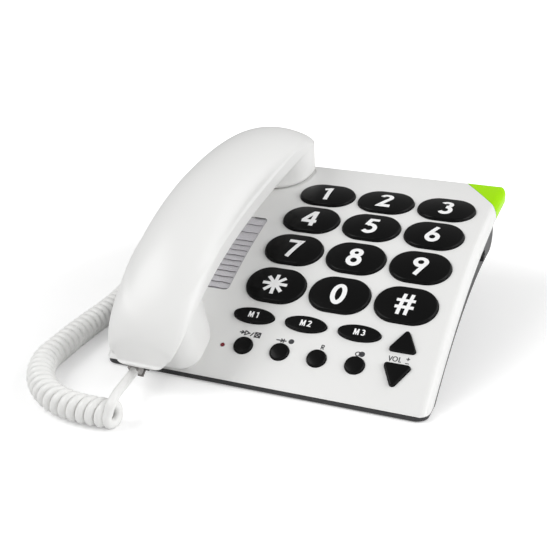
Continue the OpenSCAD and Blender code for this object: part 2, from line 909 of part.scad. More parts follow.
// Screw sleeves, the loudspeaker's ring and the ribs that stand on the bottom shell's floor
module tray_fittings() {
  for (side = [-1, 1], s = case_screw_s)
    on_face(side * case_screw_x, s)
      translate([0, 0, -40])
        cylinder(h = 40 - case_post_end - seam, r = case_post_r + 0.8, $fn = 32);
  on_underside(speaker_x, speaker_y)
    difference() {
      cylinder(h = wall + 5, d = speaker_d + 2 * fit + 3, $fn = 64);
      translate([0, 0, -cut])
        cylinder(h = wall + 5 + 2 * cut, d = speaker_d + 2 * fit, $fn = 64);
    }
  for (boss = stand_bosses)
    on_underside(boss[0], stand_mid_y + boss[1])
      cylinder(h = stand_boss_h, r = case_post_r, $fn = 32);
}

foot_x = base_w / 2 - 22;
foot_y = 12;
foot_r = 6;
foot_recess = 0.8;
stand_foot_r = 7;
stand_foot_t = 2;
stand_z = 1;
stand_feet = [for (side = [-1, 1], end = [-1, 1])
  [side * (stand_w / 2 - 11), stand_mid_y + end * (stand_d / 2 - 11)]];

module rubber_feet() {
  color("black") {
    for (side = [-1, 1])
      translate([side * foot_x, front_y + foot_y, 0])
        cylinder(h = tray_z + foot_recess, r = foot_r, $fn = 48);
    for (foot = stand_feet)
      translate([foot[0], foot[1], 0])
        cylinder(h = stand_foot_t, r = stand_foot_r, $fn = 48);
  }
}

// The stand: an open box whose top follows the base's underside
module stand_block(inset, top_gap) {
  y0 = front_y + stand_y + inset;
  y1 = front_y + stand_y + stand_d - inset;
  intersection() {
    translate([0, (y0 + y1) / 2, stand_z - (inset > 0 ? 5 : 0)])
      linear_extrude(height = 80)
        polygon(round_rect(stand_w - 2 * inset, y1 - y0, 5 - inset / 2));
    translate([0, under_y, under_z])
      rotate([0, 90, 0])
        cylinder(h = base_w, r = under_r - top_gap, center = true, $fn = 360);
  }
}

module desk_stand() {
  color("dimgray")
    difference() {
      union() {
        difference() {
          stand_block(0, seam);
          stand_block(stand_wall, seam + stand_wall);
        }
        intersection() {
          stand_block(stand_wall / 2, seam + stand_wall / 2);
          union() {
            for (foot = stand_feet)
              translate([foot[0], foot[1], stand_z])
                cylinder(h = 80, r = stand_foot_r + 2.4, $fn = 48);
            for (x = [-24, 24])
              translate([x - 1, front_y + stand_y, stand_z + 12])
                cube([2, stand_d, 80]);
          }
        }
      }
      for (foot = stand_feet)
        translate([foot[0], foot[1], -cut])
          cylinder(h = stand_foot_t + cut + 0.1, r = stand_foot_r + fit, $fn = 48);
      for (boss = stand_bosses)
        on_underside(boss[0], stand_mid_y + boss[1], -20)
          cylinder(h = 30, r = screw_r + 0.4, $fn = 24);
    }
}

module stand_screws() {
  color("silver")
    for (boss = stand_bosses)
      on_underside(boss[0], stand_mid_y + boss[1], -seam - stand_wall - 0.1)
        screw(stand_wall + stand_boss_h - 1.5, 1.6);
}

module case_screws() {
  color("silver")
    for (side = [-1, 1], s = case_screw_s)
      on_face(side * case_screw_x, s)
        translate([0, 0, -case_post_end - 4.1])
          screw(9, 1.6);
}

// ---- Inside the base ----
module main_board() {
  color("darkgreen")
    at_main_board() {
      difference() {
        translate([-main_board_w / 2, -main_board_l / 2, -board_t])
          cube([main_board_w, main_board_l, board_t]);
        for (post = main_posts)
          translate([post[0], post[1], -board_t - cut])
            cylinder(h = board_t + 2 * cut, r = pilot_r + 0.2, $fn = 24);
      }
      translate([-10, -8, -board_t - 2])
        cube([14, 14, 2]);
      translate([8, 8, -board_t - 3])
        cube([9, 12, 3]);
      for (y = [-16, -6])
        translate([12, y, -board_t - 3])
          cylinder(h = 3, r = 2.5, $fn = 24);
    }
}

module hook_plunger() {
  color("whitesmoke")
    on_face(-handset_x, hook_s) {
      translate([0, 0, -hook_plunger_l])
        cylinder(h = hook_plunger_l - seat_depth, r = hook_r, $fn = 32);
      translate([0, 0, -wall - hook_travel - seam - 1.4])
        cylinder(h = 1.4, r = hook_r + 1.4, $fn = 32);
    }
}

module hook_switch() {
  color("dimgray")
    on_face(-handset_x, hook_s)
      translate([-hook_switch_w / 2, 1 - hook_switch_w, -hook_plunger_l - seam - hook_switch_h])
        cube([hook_switch_w, hook_switch_w, hook_switch_h]);
}

module ringer_speaker() {
  color("black")
    on_underside(speaker_x, speaker_y, wall + seam + 0.2) {
      cylinder(h = speaker_h - 4, d = speaker_d, $fn = 64);
      cylinder(h = speaker_h, d = speaker_d * 0.55, $fn = 64);
    }
}

module ringer_light() {
  color("lime")
    on_face(base_w / 2 - 9, rear_s - 12)
      translate([0, 0, -wall - seam - 5])
        cylinder(h = 5, r = 2.5, $fn = 32);
}

module status_light() {
  color("red")
    on_face(led_x, led_s) {
      translate([0, 0, -small_board_depth + 0.4])
        cylinder(h = small_board_depth - 0.2, d = led_d, $fn = 32);
    }
}

// A modular jack: a block with a blind opening in its front
module jack(w, h, l, hole_w, hole_h, hole_l) {
  difference() {
    translate([-w / 2, 0, -h / 2])
      cube([w, l, h]);
    translate([-hole_w / 2, -cut, -hole_h / 2])
      cube([hole_w, hole_l + cut, hole_h]);
    translate([-hole_w / 4, -cut, -hole_h / 2 - 1.4])
      cube([hole_w / 2, hole_l * 0.6 + cut, 2]);
  }
}

module line_socket() {
  color("black")
    translate([line_socket_x, tray_end_y - 0.3, line_jack_z])
      rotate([0, 0, 180])
        jack(line_jack_w, line_jack_h, jack_l + 2, 9.8, 6.8, 12);
}

module base_cord_socket() {
  color("black")
    translate([-tray_w / 2 + 0.3, cord_jack_y, cord_jack_z])
      rotate([0, 0, -90])
        jack(jack_w, jack_h, jack_l, plug_w + 0.2, plug_h + 0.2, 11);
}

// A clear plug with its latch; the tip points along Y and the cord leaves at Y = 0
plug_in = 9.5;
plug_out = 4;
module modular_plug() {
  difference() {
    union() {
      translate([-plug_w / 2, 0, -plug_h / 2])
        cube([plug_w, plug_in + plug_out, plug_h]);
      translate([-1.6, 0.6, -plug_h / 2 - 1.1])
        cube([3.2, plug_in * 0.5 + plug_out, 1.2]);
    }
    for (i = [-1.5:1:1.5])
      translate([i * 1.3 - 0.3, plug_in + plug_out - 3.5, plug_h / 2 - 1.4])
        cube([0.6, 5, 3]);
  }
}

module base_plug() {
  color("lightgray")
    translate([-tray_w / 2 + 0.3 - plug_out, cord_jack_y, cord_jack_z])
      rotate([0, 0, -90])
        modular_plug();
}

module ringer_switch_knob() {
  color("black")
    translate([tray_w / 2 - wall, knob_y - knob_travel / 2 + 0.2, knob_z])
      rotate([0, 90, 0]) {
        translate([-1.8, -2.5, wall - 1])
          cube([3.6, 5, 2.8]);
        translate([-3.2, -4.5, -1.6])
          cube([6.4, 9, 1.6 - 0.3]);
        translate([-1.8, -2.5, -0.4])
          cube([3.6, 5, wall]);
      }
}

// ---- Handset ----
half_l = handset_l / 2;
front_base_v = -16.9;
rear_base_v = 7.6;
plan_n = 8.6;
crown_front_n = 1.88;
crown_rear_n = 2.09;
rim_front_n = 2.07;
rim_rear_n = 2.62;

module at_handset() {
  translate([-handset_x, 0, handset_z])
    rotate([handset_slope, 0, 0])
      children();
}

// A super-ellipse's height, from 1 in the middle to 0 at the ends t = -1 and t = 1
function swell(t, n) = pow(max(0, 1 - pow(abs(t), n)), 1 / n);
function base_v(t) = (front_base_v + rear_base_v) / 2 + (rear_base_v - front_base_v) / 2 * t;
function crown_v(t) = base_v(t) + (crown_h - base_v(t)) * swell(t, t < 0 ? crown_front_n : crown_rear_n);
function rim_v(t) = base_v(t) + (rim_h - base_v(t)) * swell(t * 0.995, t < 0 ? rim_front_n : rim_rear_n);
function width_at(t) = handset_w / 2 * swell(t, plan_n);

// One closed section of the handset at t, moved in by inset: the arched back, then the belly
function section(t, inset) =
  let (w = max(0.4, width_at(t) - inset), top = crown_v(t) - inset, rim = rim_v(t),
    arch = min(arch_h, max(1, top - rim - 1)), side = top - arch,
    belly = max(0.6, belly_h * swell(t, 4) - inset))
  concat(
    [for (a = [0:18:180]) [w * cos(a), side + arch * sin(a)]],
    [for (a = [180:22.5:360]) [w * cos(a), min(side, rim) + belly * sin(a)]]);

module loft(sections, stations) {
  n = len(sections[0]);
  m = len(sections);
  points = [for (j = [0:m - 1], p = sections[j]) [p[0], stations[j], p[1]]];
  sides = [for (j = [0:m - 2], i = [0:n - 1])
    [j * n + i, j * n + (i + 1) % n, (j + 1) * n + (i + 1) % n, (j + 1) * n + i]];
  polyhedron(points, concat([[for (i = [n - 1:-1:0]) i]], sides, [[for (i = [0:n - 1]) (m - 1) * n + i]]));
}

loft_steps = 36;
module handset_solid(inset) {
  reach = half_l - inset;
  ts = [for (i = [0:loft_steps]) -cos(180 * i / loft_steps) * 0.998];
  at_handset()
    loft([for (t = ts) section(t, inset)], [for (t = ts) t * reach]);
}

// The space above the parting line
module above_rim(shift) {
  n = 36;
  at_handset()
    rotate([90, 0, 90])
      translate([0, 0, -60])
        linear_extrude(height = 120)
          polygon(concat(
            [for (i = [0:n]) let (t = -cos(180 * i / n)) [t * half_l, rim_v(t) + shift]],
            [[half_l + 20, rear_base_v], [half_l + 20, 100], [-half_l - 20, 100], [-half_l - 20, front_base_v]]));
}

// A cup's form, moved in by inset, standing on Z = 0 with a rounded lower edge
cup_edge = 4;
module cup(reach, inset, h) {
  hull() {
    for (a = [0:22.5:90])
      translate([0, 0, inset + cup_edge * (1 - cos(a))])
        linear_extrude(height = 0.01)
          polygon(cup_outline(reach, inset + cup_edge * (1 - sin(a))));
    translate([0, 0, h])
      linear_extrude(height = 0.01)
        polygon(cup_outline(reach, inset));
  }
}

module ear_cup(inset, h) {
  at_ear()
    cup(ear_reach, inset, h);
}

module mouth_cup(inset, h) {
  at_mouth()
    rotate([0, 0, 180])
      cup(mouth_reach, inset, h);
}

module at_ear() {
  on_face(-handset_x, ear_s)
    translate([0, 0, seam - seat_depth])
      children();
}

module as_mesh() {
  resize([0, 0, 0])
    children();
}

// The frames of the two handset screws: Z = 0 is the inner shell's underside
handset_screw_y = [-41, 44];
handset_head_h = 1.2;
function under_v(t) = rim_v(t) - belly_h * swell(t, 4);
module at_handset_screws() {
  for (y = handset_screw_y)
    at_handset()
      translate([0, y, under_v(y / half_l)])
        children();
}

module handset_outer_shell() {
  color("white")
    as_mesh()
      union() {
        intersection() {
          difference() {
            handset_solid(0);
            handset_solid(handset_wall);
          }
          above_rim(0.1);
        }
        intersection() {
          handset_solid(handset_wall / 2);
          at_handset_screws()
            translate([0, 0, handset_wall + 2 * seam])
              difference() {
                cylinder(h = 40, r = case_post_r, $fn = 20);
                translate([0, 0, -cut])
                  cylinder(h = 10, r = pilot_r, $fn = 20);
              }
        }
      }
}

// Rings of small holes through a cup's floor, each given as how many and at what radius
module sound_holes(rings) {
  for (ring = rings, i = [0:ring[0] - 1])
    rotate([0, 0, 360 * i / ring[0]])
      translate([ring[1], 0, -cut])
        cylinder(h = handset_wall + 2 * cut, r = 0.8, $fn = 8);
}

// A housing under the handset's front end, around its socket
module jack_housing() {
  at_handset_jack()
    translate([-jack_w / 2 - jack_cover, 0.2, -jack_h / 2 - jack_cover])
      cube([jack_w + 2 * jack_cover, jack_l + 6, jack_h + 2 * jack_cover]);
}

module handset_inner_shell() {
  color("white")
    as_mesh()
      difference() {
        union() {
          difference() {
            union() {
              handset_solid(0.01);
              ear_cup(0, 24);
              mouth_cup(0, 36);
            }
            handset_solid(handset_wall);
            ear_cup(handset_wall, 22);
            mouth_cup(handset_wall, 34);
          }
          jack_housing();
        }
        above_rim(-0.1);
        at_ear()
          sound_holes([[1, 0], [6, 4], [12, 8]]);
        at_mouth()
          sound_holes([[1, 0], [4, 3]]);
        at_handset_jack()
          translate([-jack_w / 2 - fit, -cut, -jack_h / 2 - fit])
            cube([jack_w + 2 * fit, jack_l + 12, jack_h + 2 * fit]);
        at_handset_screws() {
          translate([0, 0, -2])
            cylinder(h = 10, r = screw_r + 0.5, $fn = 24);
          translate([0, 0, -2])
            cylinder(h = 2 + handset_head_h, r = screw_head_r + 0.4, $fn = 24);
        }
      }
}

// The frame of the handset's socket: Y points into the handset
jack_x = -handset_x - 7.1;
jack_y = front_y - 19;
jack_z = 14;
jack_slope = 35;
module at_handset_jack() {
  translate([jack_x, jack_y, jack_z])
    rotate([jack_slope, 0, 0])
      children();
}

module handset_socket() {
  color("black")
    at_handset_jack()
      jack(jack_w, jack_h, jack_l, plug_w + 0.2, plug_h + 0.2, 11);
}

module handset_plug() {
  color("lightgray")
    at_handset_jack()
      translate([0, -plug_out, 0])
        modular_plug();
}

module receiver_capsule() {
  color("gray")
    at_ear()
      translate([0, 0, handset_wall + seam])
        cylinder(h = 7, r = 16, $fn = 64);
}

module microphone_boot() {
  color("dimgray")
    at_mouth()
      translate([0, 0, handset_wall + seam])
        difference() {
          cylinder(h = 6, r = 7, $fn = 48);
          translate([0, 0, -cut])
            cylinder(h = 8, r = 4.9, $fn = 48);
        }
}

module microphone_capsule() {
  color("silver")
    at_mouth()
      translate([0, 0, handset_wall + seam])
        cylinder(h = 5, r = 4.85, $fn = 48);
}

weight_w = 20;
weight_l = 40;
weight_h = 5;
module handset_weight() {
  across = weight_w / (handset_w - 2 * handset_wall);
  color("gray")
    at_handset()
      translate([-weight_w / 2, -weight_l / 2, rim_h - (belly_h - handset_wall) * sqrt(1 - across * across) + seam])
        cube([weight_w, weight_l, weight_h]);
}

module handset_screws() {
  color("silver")
    at_handset_screws()
      translate([0, 0, handset_head_h])
        screw(9, handset_head_h);
}

// ---- Cord ----
// Where the two leads leave their plugs
handset_plug_end = [jack_x, jack_y - plug_out * cos(jack_slope), jack_z - plug_out * sin(jack_slope)];
base_plug_end = [-tray_w / 2 + 0.3 - plug_out, cord_jack_y, cord_jack_z];

// Route points, in millimetres
coil_route = [[-55, -155, 8.4], [-64, -156, 8.4], [-76, -156, 8.4], [-89, -153, 8.4], [-101, -147, 8.4],
  [-112, -137, 8.4], [-120, -125, 8.4], [-125, -111, 8.4], [-126, -96, 8.4], [-127, -76, 8.4],
  [-127, -54, 8.4], [-127, -32, 8.4], [-129, -10, 8.4], [-134, 12, 8.4], [-140, 32, 8.4]];
handset_lead_route = concat([handset_plug_end], [[-66, -116, 10.4], [-65, -121, 10], [-63, -129, 11],
  [-61, -137, 13], [-58, -146, 16.4], [-56, -151, 18.4]]);
base_lead_route = concat([base_plug_end], [[-110, 58, 52], [-122, 59, 49], [-133, 60, 41], [-140, 59, 30],
  [-143, 55, 19], [-143, 47, 11], [-142, 39, 8.4], [-140, 32.3, 8.4]]);

function unit(v) = v / norm(v);
function tangent(p, i) = unit(p[min(i + 1, len(p) - 1)] - p[max(i - 1, 0)]);
function ring(c, t, r, n) =
  let (side = unit(cross(t, [1, 1, -1])), up = cross(side, t))
  [for (k = [0:n - 1]) c + r * (cos(360 * k / n) * side + sin(360 * k / n) * up)];

// A round tube swept along a route
module sweep(route, r, n) {
  m = len(route);
  points = [for (i = [0:m - 1], p = ring(route[i], tangent(route, i), r, n)) p];
  sides = [for (i = [0:m - 2], k = [0:n - 1])
    [i * n + k, (i + 1) * n + k, (i + 1) * n + (k + 1) % n, i * n + (k + 1) % n]];
  polyhedron(points, concat([[for (k = [0:n - 1]) k]], sides, [[for (k = [n - 1:-1:0]) (m - 1) * n + k]]));
}

module coil_cord() {
  color("whitesmoke")
    sweep(coil_route, coil_d / 2, 12);
}

module base_lead() {
  color("whitesmoke")
    sweep(base_lead_route, cord_d / 2, 8);
}

module handset_lead() {
  color("whitesmoke")
    sweep(handset_lead_route, cord_d / 2, 8);
}

top_shell();
ringer_lens();
bottom_shell();
desk_stand();
rubber_feet();
index_card();
card_cover();
number_key_mat();
small_key_mat();
keypad_board();
small_key_board();
main_board();
hook_switch();
ringer_speaker();
ringer_light();
status_light();
line_socket();
base_cord_socket();
case_screws();
stand_screws();
board_screws();
base_plug();
base_lead();
coil_cord();
hook_plunger();
ringer_switch_knob();
color("black") number_key(0);  // key_1
color("black") number_key(1);  // key_2
color("black") number_key(2);  // key_3
color("black") number_key(3);  // key_4
color("black") number_key(4);  // key_5
color("black") number_key(5);  // key_6
color("black") number_key(6);  // key_7
color("black") number_key(7);  // key_8
color("black") number_key(8);  // key_9
color("black") number_key(9);  // key_star
color("black") number_key(10);  // key_0
color("black") number_key(11);  // key_hash
color("black") memory_key(0);  // memory_key_1
color("black") memory_key(1);  // memory_key_2
color("black") memory_key(2);  // memory_key_3
color("black") round_key(0);  // round_key_1
color("black") round_key(1);  // round_key_2
color("black") round_key(2);  // round_key_3
color("black") round_key(3);  // round_key_4
color("black") volume_key(0);  // volume_up_key
color("black") volume_key(1);  // volume_down_key
handset_outer_shell();
handset_inner_shell();
receiver_capsule();
microphone_capsule();
microphone_boot();
handset_weight();
handset_socket();
handset_screws();
handset_plug();
handset_lead();
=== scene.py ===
"""Corded desk telephone with large keys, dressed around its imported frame.

Lengths in the building functions are millimetres, and new_mesh turns them into metres.
"""

import math

import bmesh
import bpy
from mathutils import Matrix, Vector


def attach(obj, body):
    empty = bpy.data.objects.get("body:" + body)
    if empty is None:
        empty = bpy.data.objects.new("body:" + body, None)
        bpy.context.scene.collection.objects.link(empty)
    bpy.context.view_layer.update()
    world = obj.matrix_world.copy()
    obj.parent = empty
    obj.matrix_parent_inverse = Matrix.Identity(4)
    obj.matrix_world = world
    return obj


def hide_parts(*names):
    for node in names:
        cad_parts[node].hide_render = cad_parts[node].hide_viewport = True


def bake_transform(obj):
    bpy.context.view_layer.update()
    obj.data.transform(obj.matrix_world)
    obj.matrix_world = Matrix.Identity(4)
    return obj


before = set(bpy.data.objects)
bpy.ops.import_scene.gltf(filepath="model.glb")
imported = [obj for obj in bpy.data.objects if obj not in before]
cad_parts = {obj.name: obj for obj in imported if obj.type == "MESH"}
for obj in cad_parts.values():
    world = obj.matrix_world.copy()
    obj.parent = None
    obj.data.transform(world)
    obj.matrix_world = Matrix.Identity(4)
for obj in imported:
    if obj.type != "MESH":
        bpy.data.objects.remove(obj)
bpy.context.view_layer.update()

bl_info = {
    "name": "Corded Desk Telephone",
    "version": (1, 0, 0),
    "blender": (4, 5, 0),
    "location": "View3D > Sidebar > Telephone",
    "description": "Builds the finished surfaces of a corded desk telephone",
    "category": "Object",
}

MM = 0.001

# The base and its curved face, as the solids have them
MID_Y = 14.0
FRONT_Y = MID_Y - 104.0
FACE_R = 384.0
FACE_SLOPE = 35.5
KEYPAD_UP = 122.6
AXIS_Y = FRONT_Y + FACE_R * math.sin(math.radians(FACE_SLOPE))
AXIS_Z = 3.3 - FACE_R * math.cos(math.radians(FACE_SLOPE))

# The handset's frame
HANDSET_X = -58.9
HANDSET_Z = 54.8
HANDSET_SLOPE = 11.4
HALF_L = 122.0
FRONT_BASE_V = -16.9
REAR_BASE_V = 7.6
EAR_S = 75.0
MOUTH_Y = 12.0
MOUTH_Z = 16.2
MOUTH_SLOPE = 23.0
EAR_SUNK = 0.7


# ---- Frames and meshes ----


def slope_at(s):
    return FACE_SLOPE - math.degrees((KEYPAD_UP + s) / FACE_R)


def face_point(x, s, h):
    """A point h above the curved face, so that flat print follows the curve."""
    a = math.radians(slope_at(s))
    r = FACE_R + h
    return Vector((x, AXIS_Y - r * math.sin(a), AXIS_Z + r * math.cos(a)))


def tilted(place, slope):
    """A frame at a place, turned about X by slope in degrees."""
    return Matrix.Translation(place) @ Matrix.Rotation(math.radians(slope), 4, "X")


def face_frame(x, s):
    """The frame on the face at x and s: Z out of the face and Y up it."""
    return tilted(face_point(x, s, 0), slope_at(s))


def handset_frame():
    return tilted((HANDSET_X, 0, HANDSET_Z), HANDSET_SLOPE)


def mouth_frame():
    turn = Matrix.Rotation(math.pi, 4, "Z")
    return tilted((HANDSET_X, FRONT_Y + MOUTH_Y, MOUTH_Z), MOUTH_SLOPE) @ turn


def ear_frame():
    return face_frame(HANDSET_X, EAR_S) @ Matrix.Translation((0, 0, -EAR_SUNK))


def metres(point):
    return tuple(c * MM for c in point)


def new_mesh(name, shape, material, matrix=None, smooth=True, sharp=35.0):
    """Makes a mesh object from a shape, which is its millimetre points and its faces."""
    points, faces = shape
    mesh = bpy.data.meshes.new(name)
    if matrix is not None:
        points = [matrix @ Vector(p) for p in points]
    mesh.from_pydata([metres(p) for p in points], [], faces)
    bm = bmesh.new()
    bm.from_mesh(mesh)
    bmesh.ops.remove_doubles(bm, verts=bm.verts, dist=1e-6)
    bmesh.ops.dissolve_degenerate(bm, edges=bm.edges, dist=1e-7)
    bmesh.ops.recalc_face_normals(bm, faces=bm.faces)
    if smooth:
        limit = math.radians(sharp)
        for face in bm.faces:
            face.smooth = True
        for edge in bm.edges:
            if len(edge.link_faces) == 2 and edge.calc_face_angle(0) > limit:
                edge.smooth = False
    bm.to_mesh(mesh)
    bm.free()
    mesh.materials.append(material)
    obj = bpy.data.objects.new(name, mesh)
    bpy.context.scene.collection.objects.link(obj)
    return obj


def make_piece(name, shape, finish, body, slot, *nodes, at=None, sharp=35.0):
    """Makes a piece that rides on a body and stands for any nodes that are named."""
    obj = new_mesh(name, shape, MATERIALS[finish], at, sharp=sharp)
    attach(obj, body)
    if nodes:
        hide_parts(*nodes)


def strip_faces(rows, count, closed=True):
    """Faces between rows of points that each have the same count."""
    faces = []
    for j in range(rows - 1):
        for i in range(count if closed else count - 1):
            a, b = j * count + i, j * count + (i + 1) % count
            faces.append((a, b, b + count, a + count))
    return faces


def end_faces(points, count):
    """Faces on the first and the last count of the points."""
    return [tuple(range(count)), tuple(range(len(points) - count, len(points)))]


def loop_stack(loops, base=False):
    """Joins closed loops, each given as (outline, z), and closes the last one, or both ends."""
    count = len(loops[0][0])
    points = [(x, y, z) for outline, z in loops for x, y in outline]
    ends = end_faces(points, count)
    return points, strip_faces(len(loops), count) + (ends if base else ends[1:])


def joined(*parts):
    """Several meshes as one list of points and one of faces."""
    points, faces = [], []
    for more, polygons in parts:
        start = len(points)
        points += more
        faces += [tuple(start + k for k in polygon) for polygon in polygons]
    return points, faces


# ---- Outlines ----


def arc(cx, cy, r, a0, a1, n):
    """Points along a circle from angle a0 to a1, in degrees."""
    return [(cx + r * math.cos(math.radians(a0 + (a1 - a0) * i / n)),
             cy + r * math.sin(math.radians(a0 + (a1 - a0) * i / n))) for i in range(n + 1)]


def pill(w, h, inset, n=32):
    """A rounded-end outline. At full inset it closes on its middle line."""
    r = max(0.0, h / 2 - inset)
    half = (w - h) / 2
    return arc(half, 0, r, -90, 90, n) + arc(-half, 0, r, 90, 270, n)


def ellipse(w, h, inset=0.0, n=72):
    """A closed oval outline, drawn in by inset all round."""
    return [((w / 2 - inset) * math.cos(2 * math.pi * i / n),
             (h / 2 - inset) * math.sin(2 * math.pi * i / n)) for i in range(n)]


def triangle(w, h, r, grow, turn=1):
    """A triangle with rounded corners that grows evenly all round."""
    a = math.degrees(math.atan2(h, w / 2))
    side = r / math.tan(math.radians(a / 2))
    q = r + grow
    outline = (arc(0, h / 2 - r / math.cos(math.radians(a)), q, 90 - a, 90 + a, 8)
               + arc(side - w / 2, r - h / 2, q, 90 + a, 270, 8)
               + arc(w / 2 - side, r - h / 2, q, 270, 450 - a, 8))
    return [(x * turn, y * turn) for x, y in outline]


def ribbon(line, width, closed=False):
    """A flat stroke of even width along a line, as left and right edge points."""
    n = len(line)
    left, right = [], []
    for i, (x, y) in enumerate(line):
        if closed:
            before, after = line[i - 1], line[(i + 1) % n]
        else:
            before, after = line[max(0, i - 1)], line[min(n - 1, i + 1)]
        d1, d2 = Vector((x - before[0], y - before[1])), Vector((after[0] - x, after[1] - y))
        if d1.length < 1e-9:
            d1 = d2
        if d2.length < 1e-9:
            d2 = d1
        d1.normalize()
        d2.normalize()
        d = (d1 + d2).normalized()
        reach = width / 2 / max(0.4, d.dot(d1))
        left.append((x - d.y * reach, y + d.x * reach))
        right.append((x + d.y * reach, y - d.x * reach))
    return left, right


# ---- Materials ----


def principled(name):
    material = bpy.data.materials.new(name)
    material.use_nodes = True
    return material, material.node_tree, material.node_tree.nodes["Principled BSDF"]


def set_inputs(node, **values):
    """Sets inputs by their names, with _ for a space."""
    for name, value in values.items():
        node.inputs[name.replace("_", " ")].default_value = value


def add_noise(tree, scale, detail=2.0):
    """Noise that stays fixed to the piece."""
    place = tree.nodes.new("ShaderNodeTexCoord")
    noise = tree.nodes.new("ShaderNodeTexNoise")
    set_inputs(noise, Scale=scale, Detail=detail)
    tree.links.new(place.outputs["Object"], noise.inputs["Vector"])
    return noise


def add_range(tree, source, low, high):
    """Spreads the middle of a noise from low to high."""
    span = tree.nodes.new("ShaderNodeMapRange")
    set_inputs(span, From_Min=0.3, From_Max=0.7, To_Min=low, To_Max=high)
    tree.links.new(source, span.inputs["Value"])
    return span.outputs["Result"]


def add_tint(tree, bsdf, source, first, second):
    mix = tree.nodes.new("ShaderNodeMix")
    mix.data_type = "RGBA"
    mix.inputs[6].default_value = (*first, 1)
    mix.inputs[7].default_value = (*second, 1)
    tree.links.new(source, mix.inputs[0])
    tree.links.new(mix.outputs[2], bsdf.inputs["Base Color"])


def add_bump(tree, bsdf, source, height):
    bump = tree.nodes.new("ShaderNodeBump")
    set_inputs(bump, Strength=1.0, Distance=height)
    tree.links.new(source, bump.inputs["Height"])
    tree.links.new(bump.outputs["Normal"], bsdf.inputs["Normal"])


def shade(colour, k):
    return tuple(c * k for c in colour)


def grained(name, first, second, sheen, height, scale, detail=2.0, close=None, close_detail=2.0):
    """A material whose tone and sheen follow one noise, and its bump the same or a closer one."""
    material, tree, bsdf = principled(name)
    broad = add_noise(tree, scale, detail).outputs["Fac"]
    fine = add_noise(tree, close, close_detail).outputs["Fac"] if close else broad
    add_tint(tree, bsdf, broad, first, second)
    tree.links.new(add_range(tree, broad, *sheen), bsdf.inputs["Roughness"])
    add_bump(tree, bsdf, fine, height)
    return material, bsdf


def moulded(name, colour, roughness, grain=900.0, height=1.5e-5, spread=0.04, coat=0.0, vary=0.03,
            gloss=0.5):
    """Moulded plastic or rubber: fine surface grain, uneven sheen and a slight change of tone."""
    sheen = (roughness - spread, roughness + spread)
    material, bsdf = grained(name, shade(colour, 1 - vary), colour, sheen, height, 22.0,
                             close=grain, close_detail=3.0)
    set_inputs(bsdf, Specular_IOR_Level=gloss, Coat_Weight=coat, Coat_Roughness=0.15)
    return material


def clear_plastic(name, colour, roughness, amount):
    """A clear or tinted moulding that lets part of the light through."""
    sheen = (roughness, roughness + 0.06)
    material, bsdf = grained(name, shade(colour, 0.96), colour, sheen, 6e-6, 30.0, close=500.0)
    set_inputs(bsdf, Transmission_Weight=amount, IOR=1.49)
    return material


def window_plastic(name, colour, opacity):
    """A thin clear sheet that light passes straight through."""
    material, bsdf = grained(name, shade(colour, 0.97), colour, (0.08, 0.14), 6e-6, 30.0)
    set_inputs(bsdf, Alpha=opacity)
    return material


# The ringer lens's paler colour towards its edges, a painted sheen that stands in for light through
# the tint
LENS_PAINTED_EDGE_LIGHT = (0.54, 0.98, 0.001)


def lime_plastic(name, deep, edge):
    """Tinted plastic, deeper face on, with a paler colour painted towards its edges as light through
    the tint.
    """
    material, tree, bsdf = principled(name)
    broad = add_noise(tree, 30.0).outputs["Fac"]
    facing = tree.nodes.new("ShaderNodeLayerWeight")
    set_inputs(facing, Blend=0.3)
    # Painted light: the facing mix lays the paler edge colour on as a sheen, not as the lens's own
    # tint
    add_tint(tree, bsdf, facing.outputs["Facing"], deep, edge)
    tree.links.new(add_range(tree, broad, 0.22, 0.30), bsdf.inputs["Roughness"])
    add_bump(tree, bsdf, broad, 2e-5)
    set_inputs(bsdf, Specular_IOR_Level=0.04)
    return material


def metal(name, colour, roughness):
    """Bare metal with a fine brushed surface."""
    sheen = (roughness - 0.06, roughness + 0.08)
    material, bsdf = grained(name, shade(colour, 0.85), colour, sheen, 1e-5, 260.0, 4.0)
    set_inputs(bsdf, Metallic=1.0)
    return material


def printed_card(name, paper):
    """Dull card with paper fibres."""
    return grained(name, shade(paper, 0.95), paper, (0.6, 0.75), 1e-5, 700.0, 4.0)[0]


MATERIALS = {}


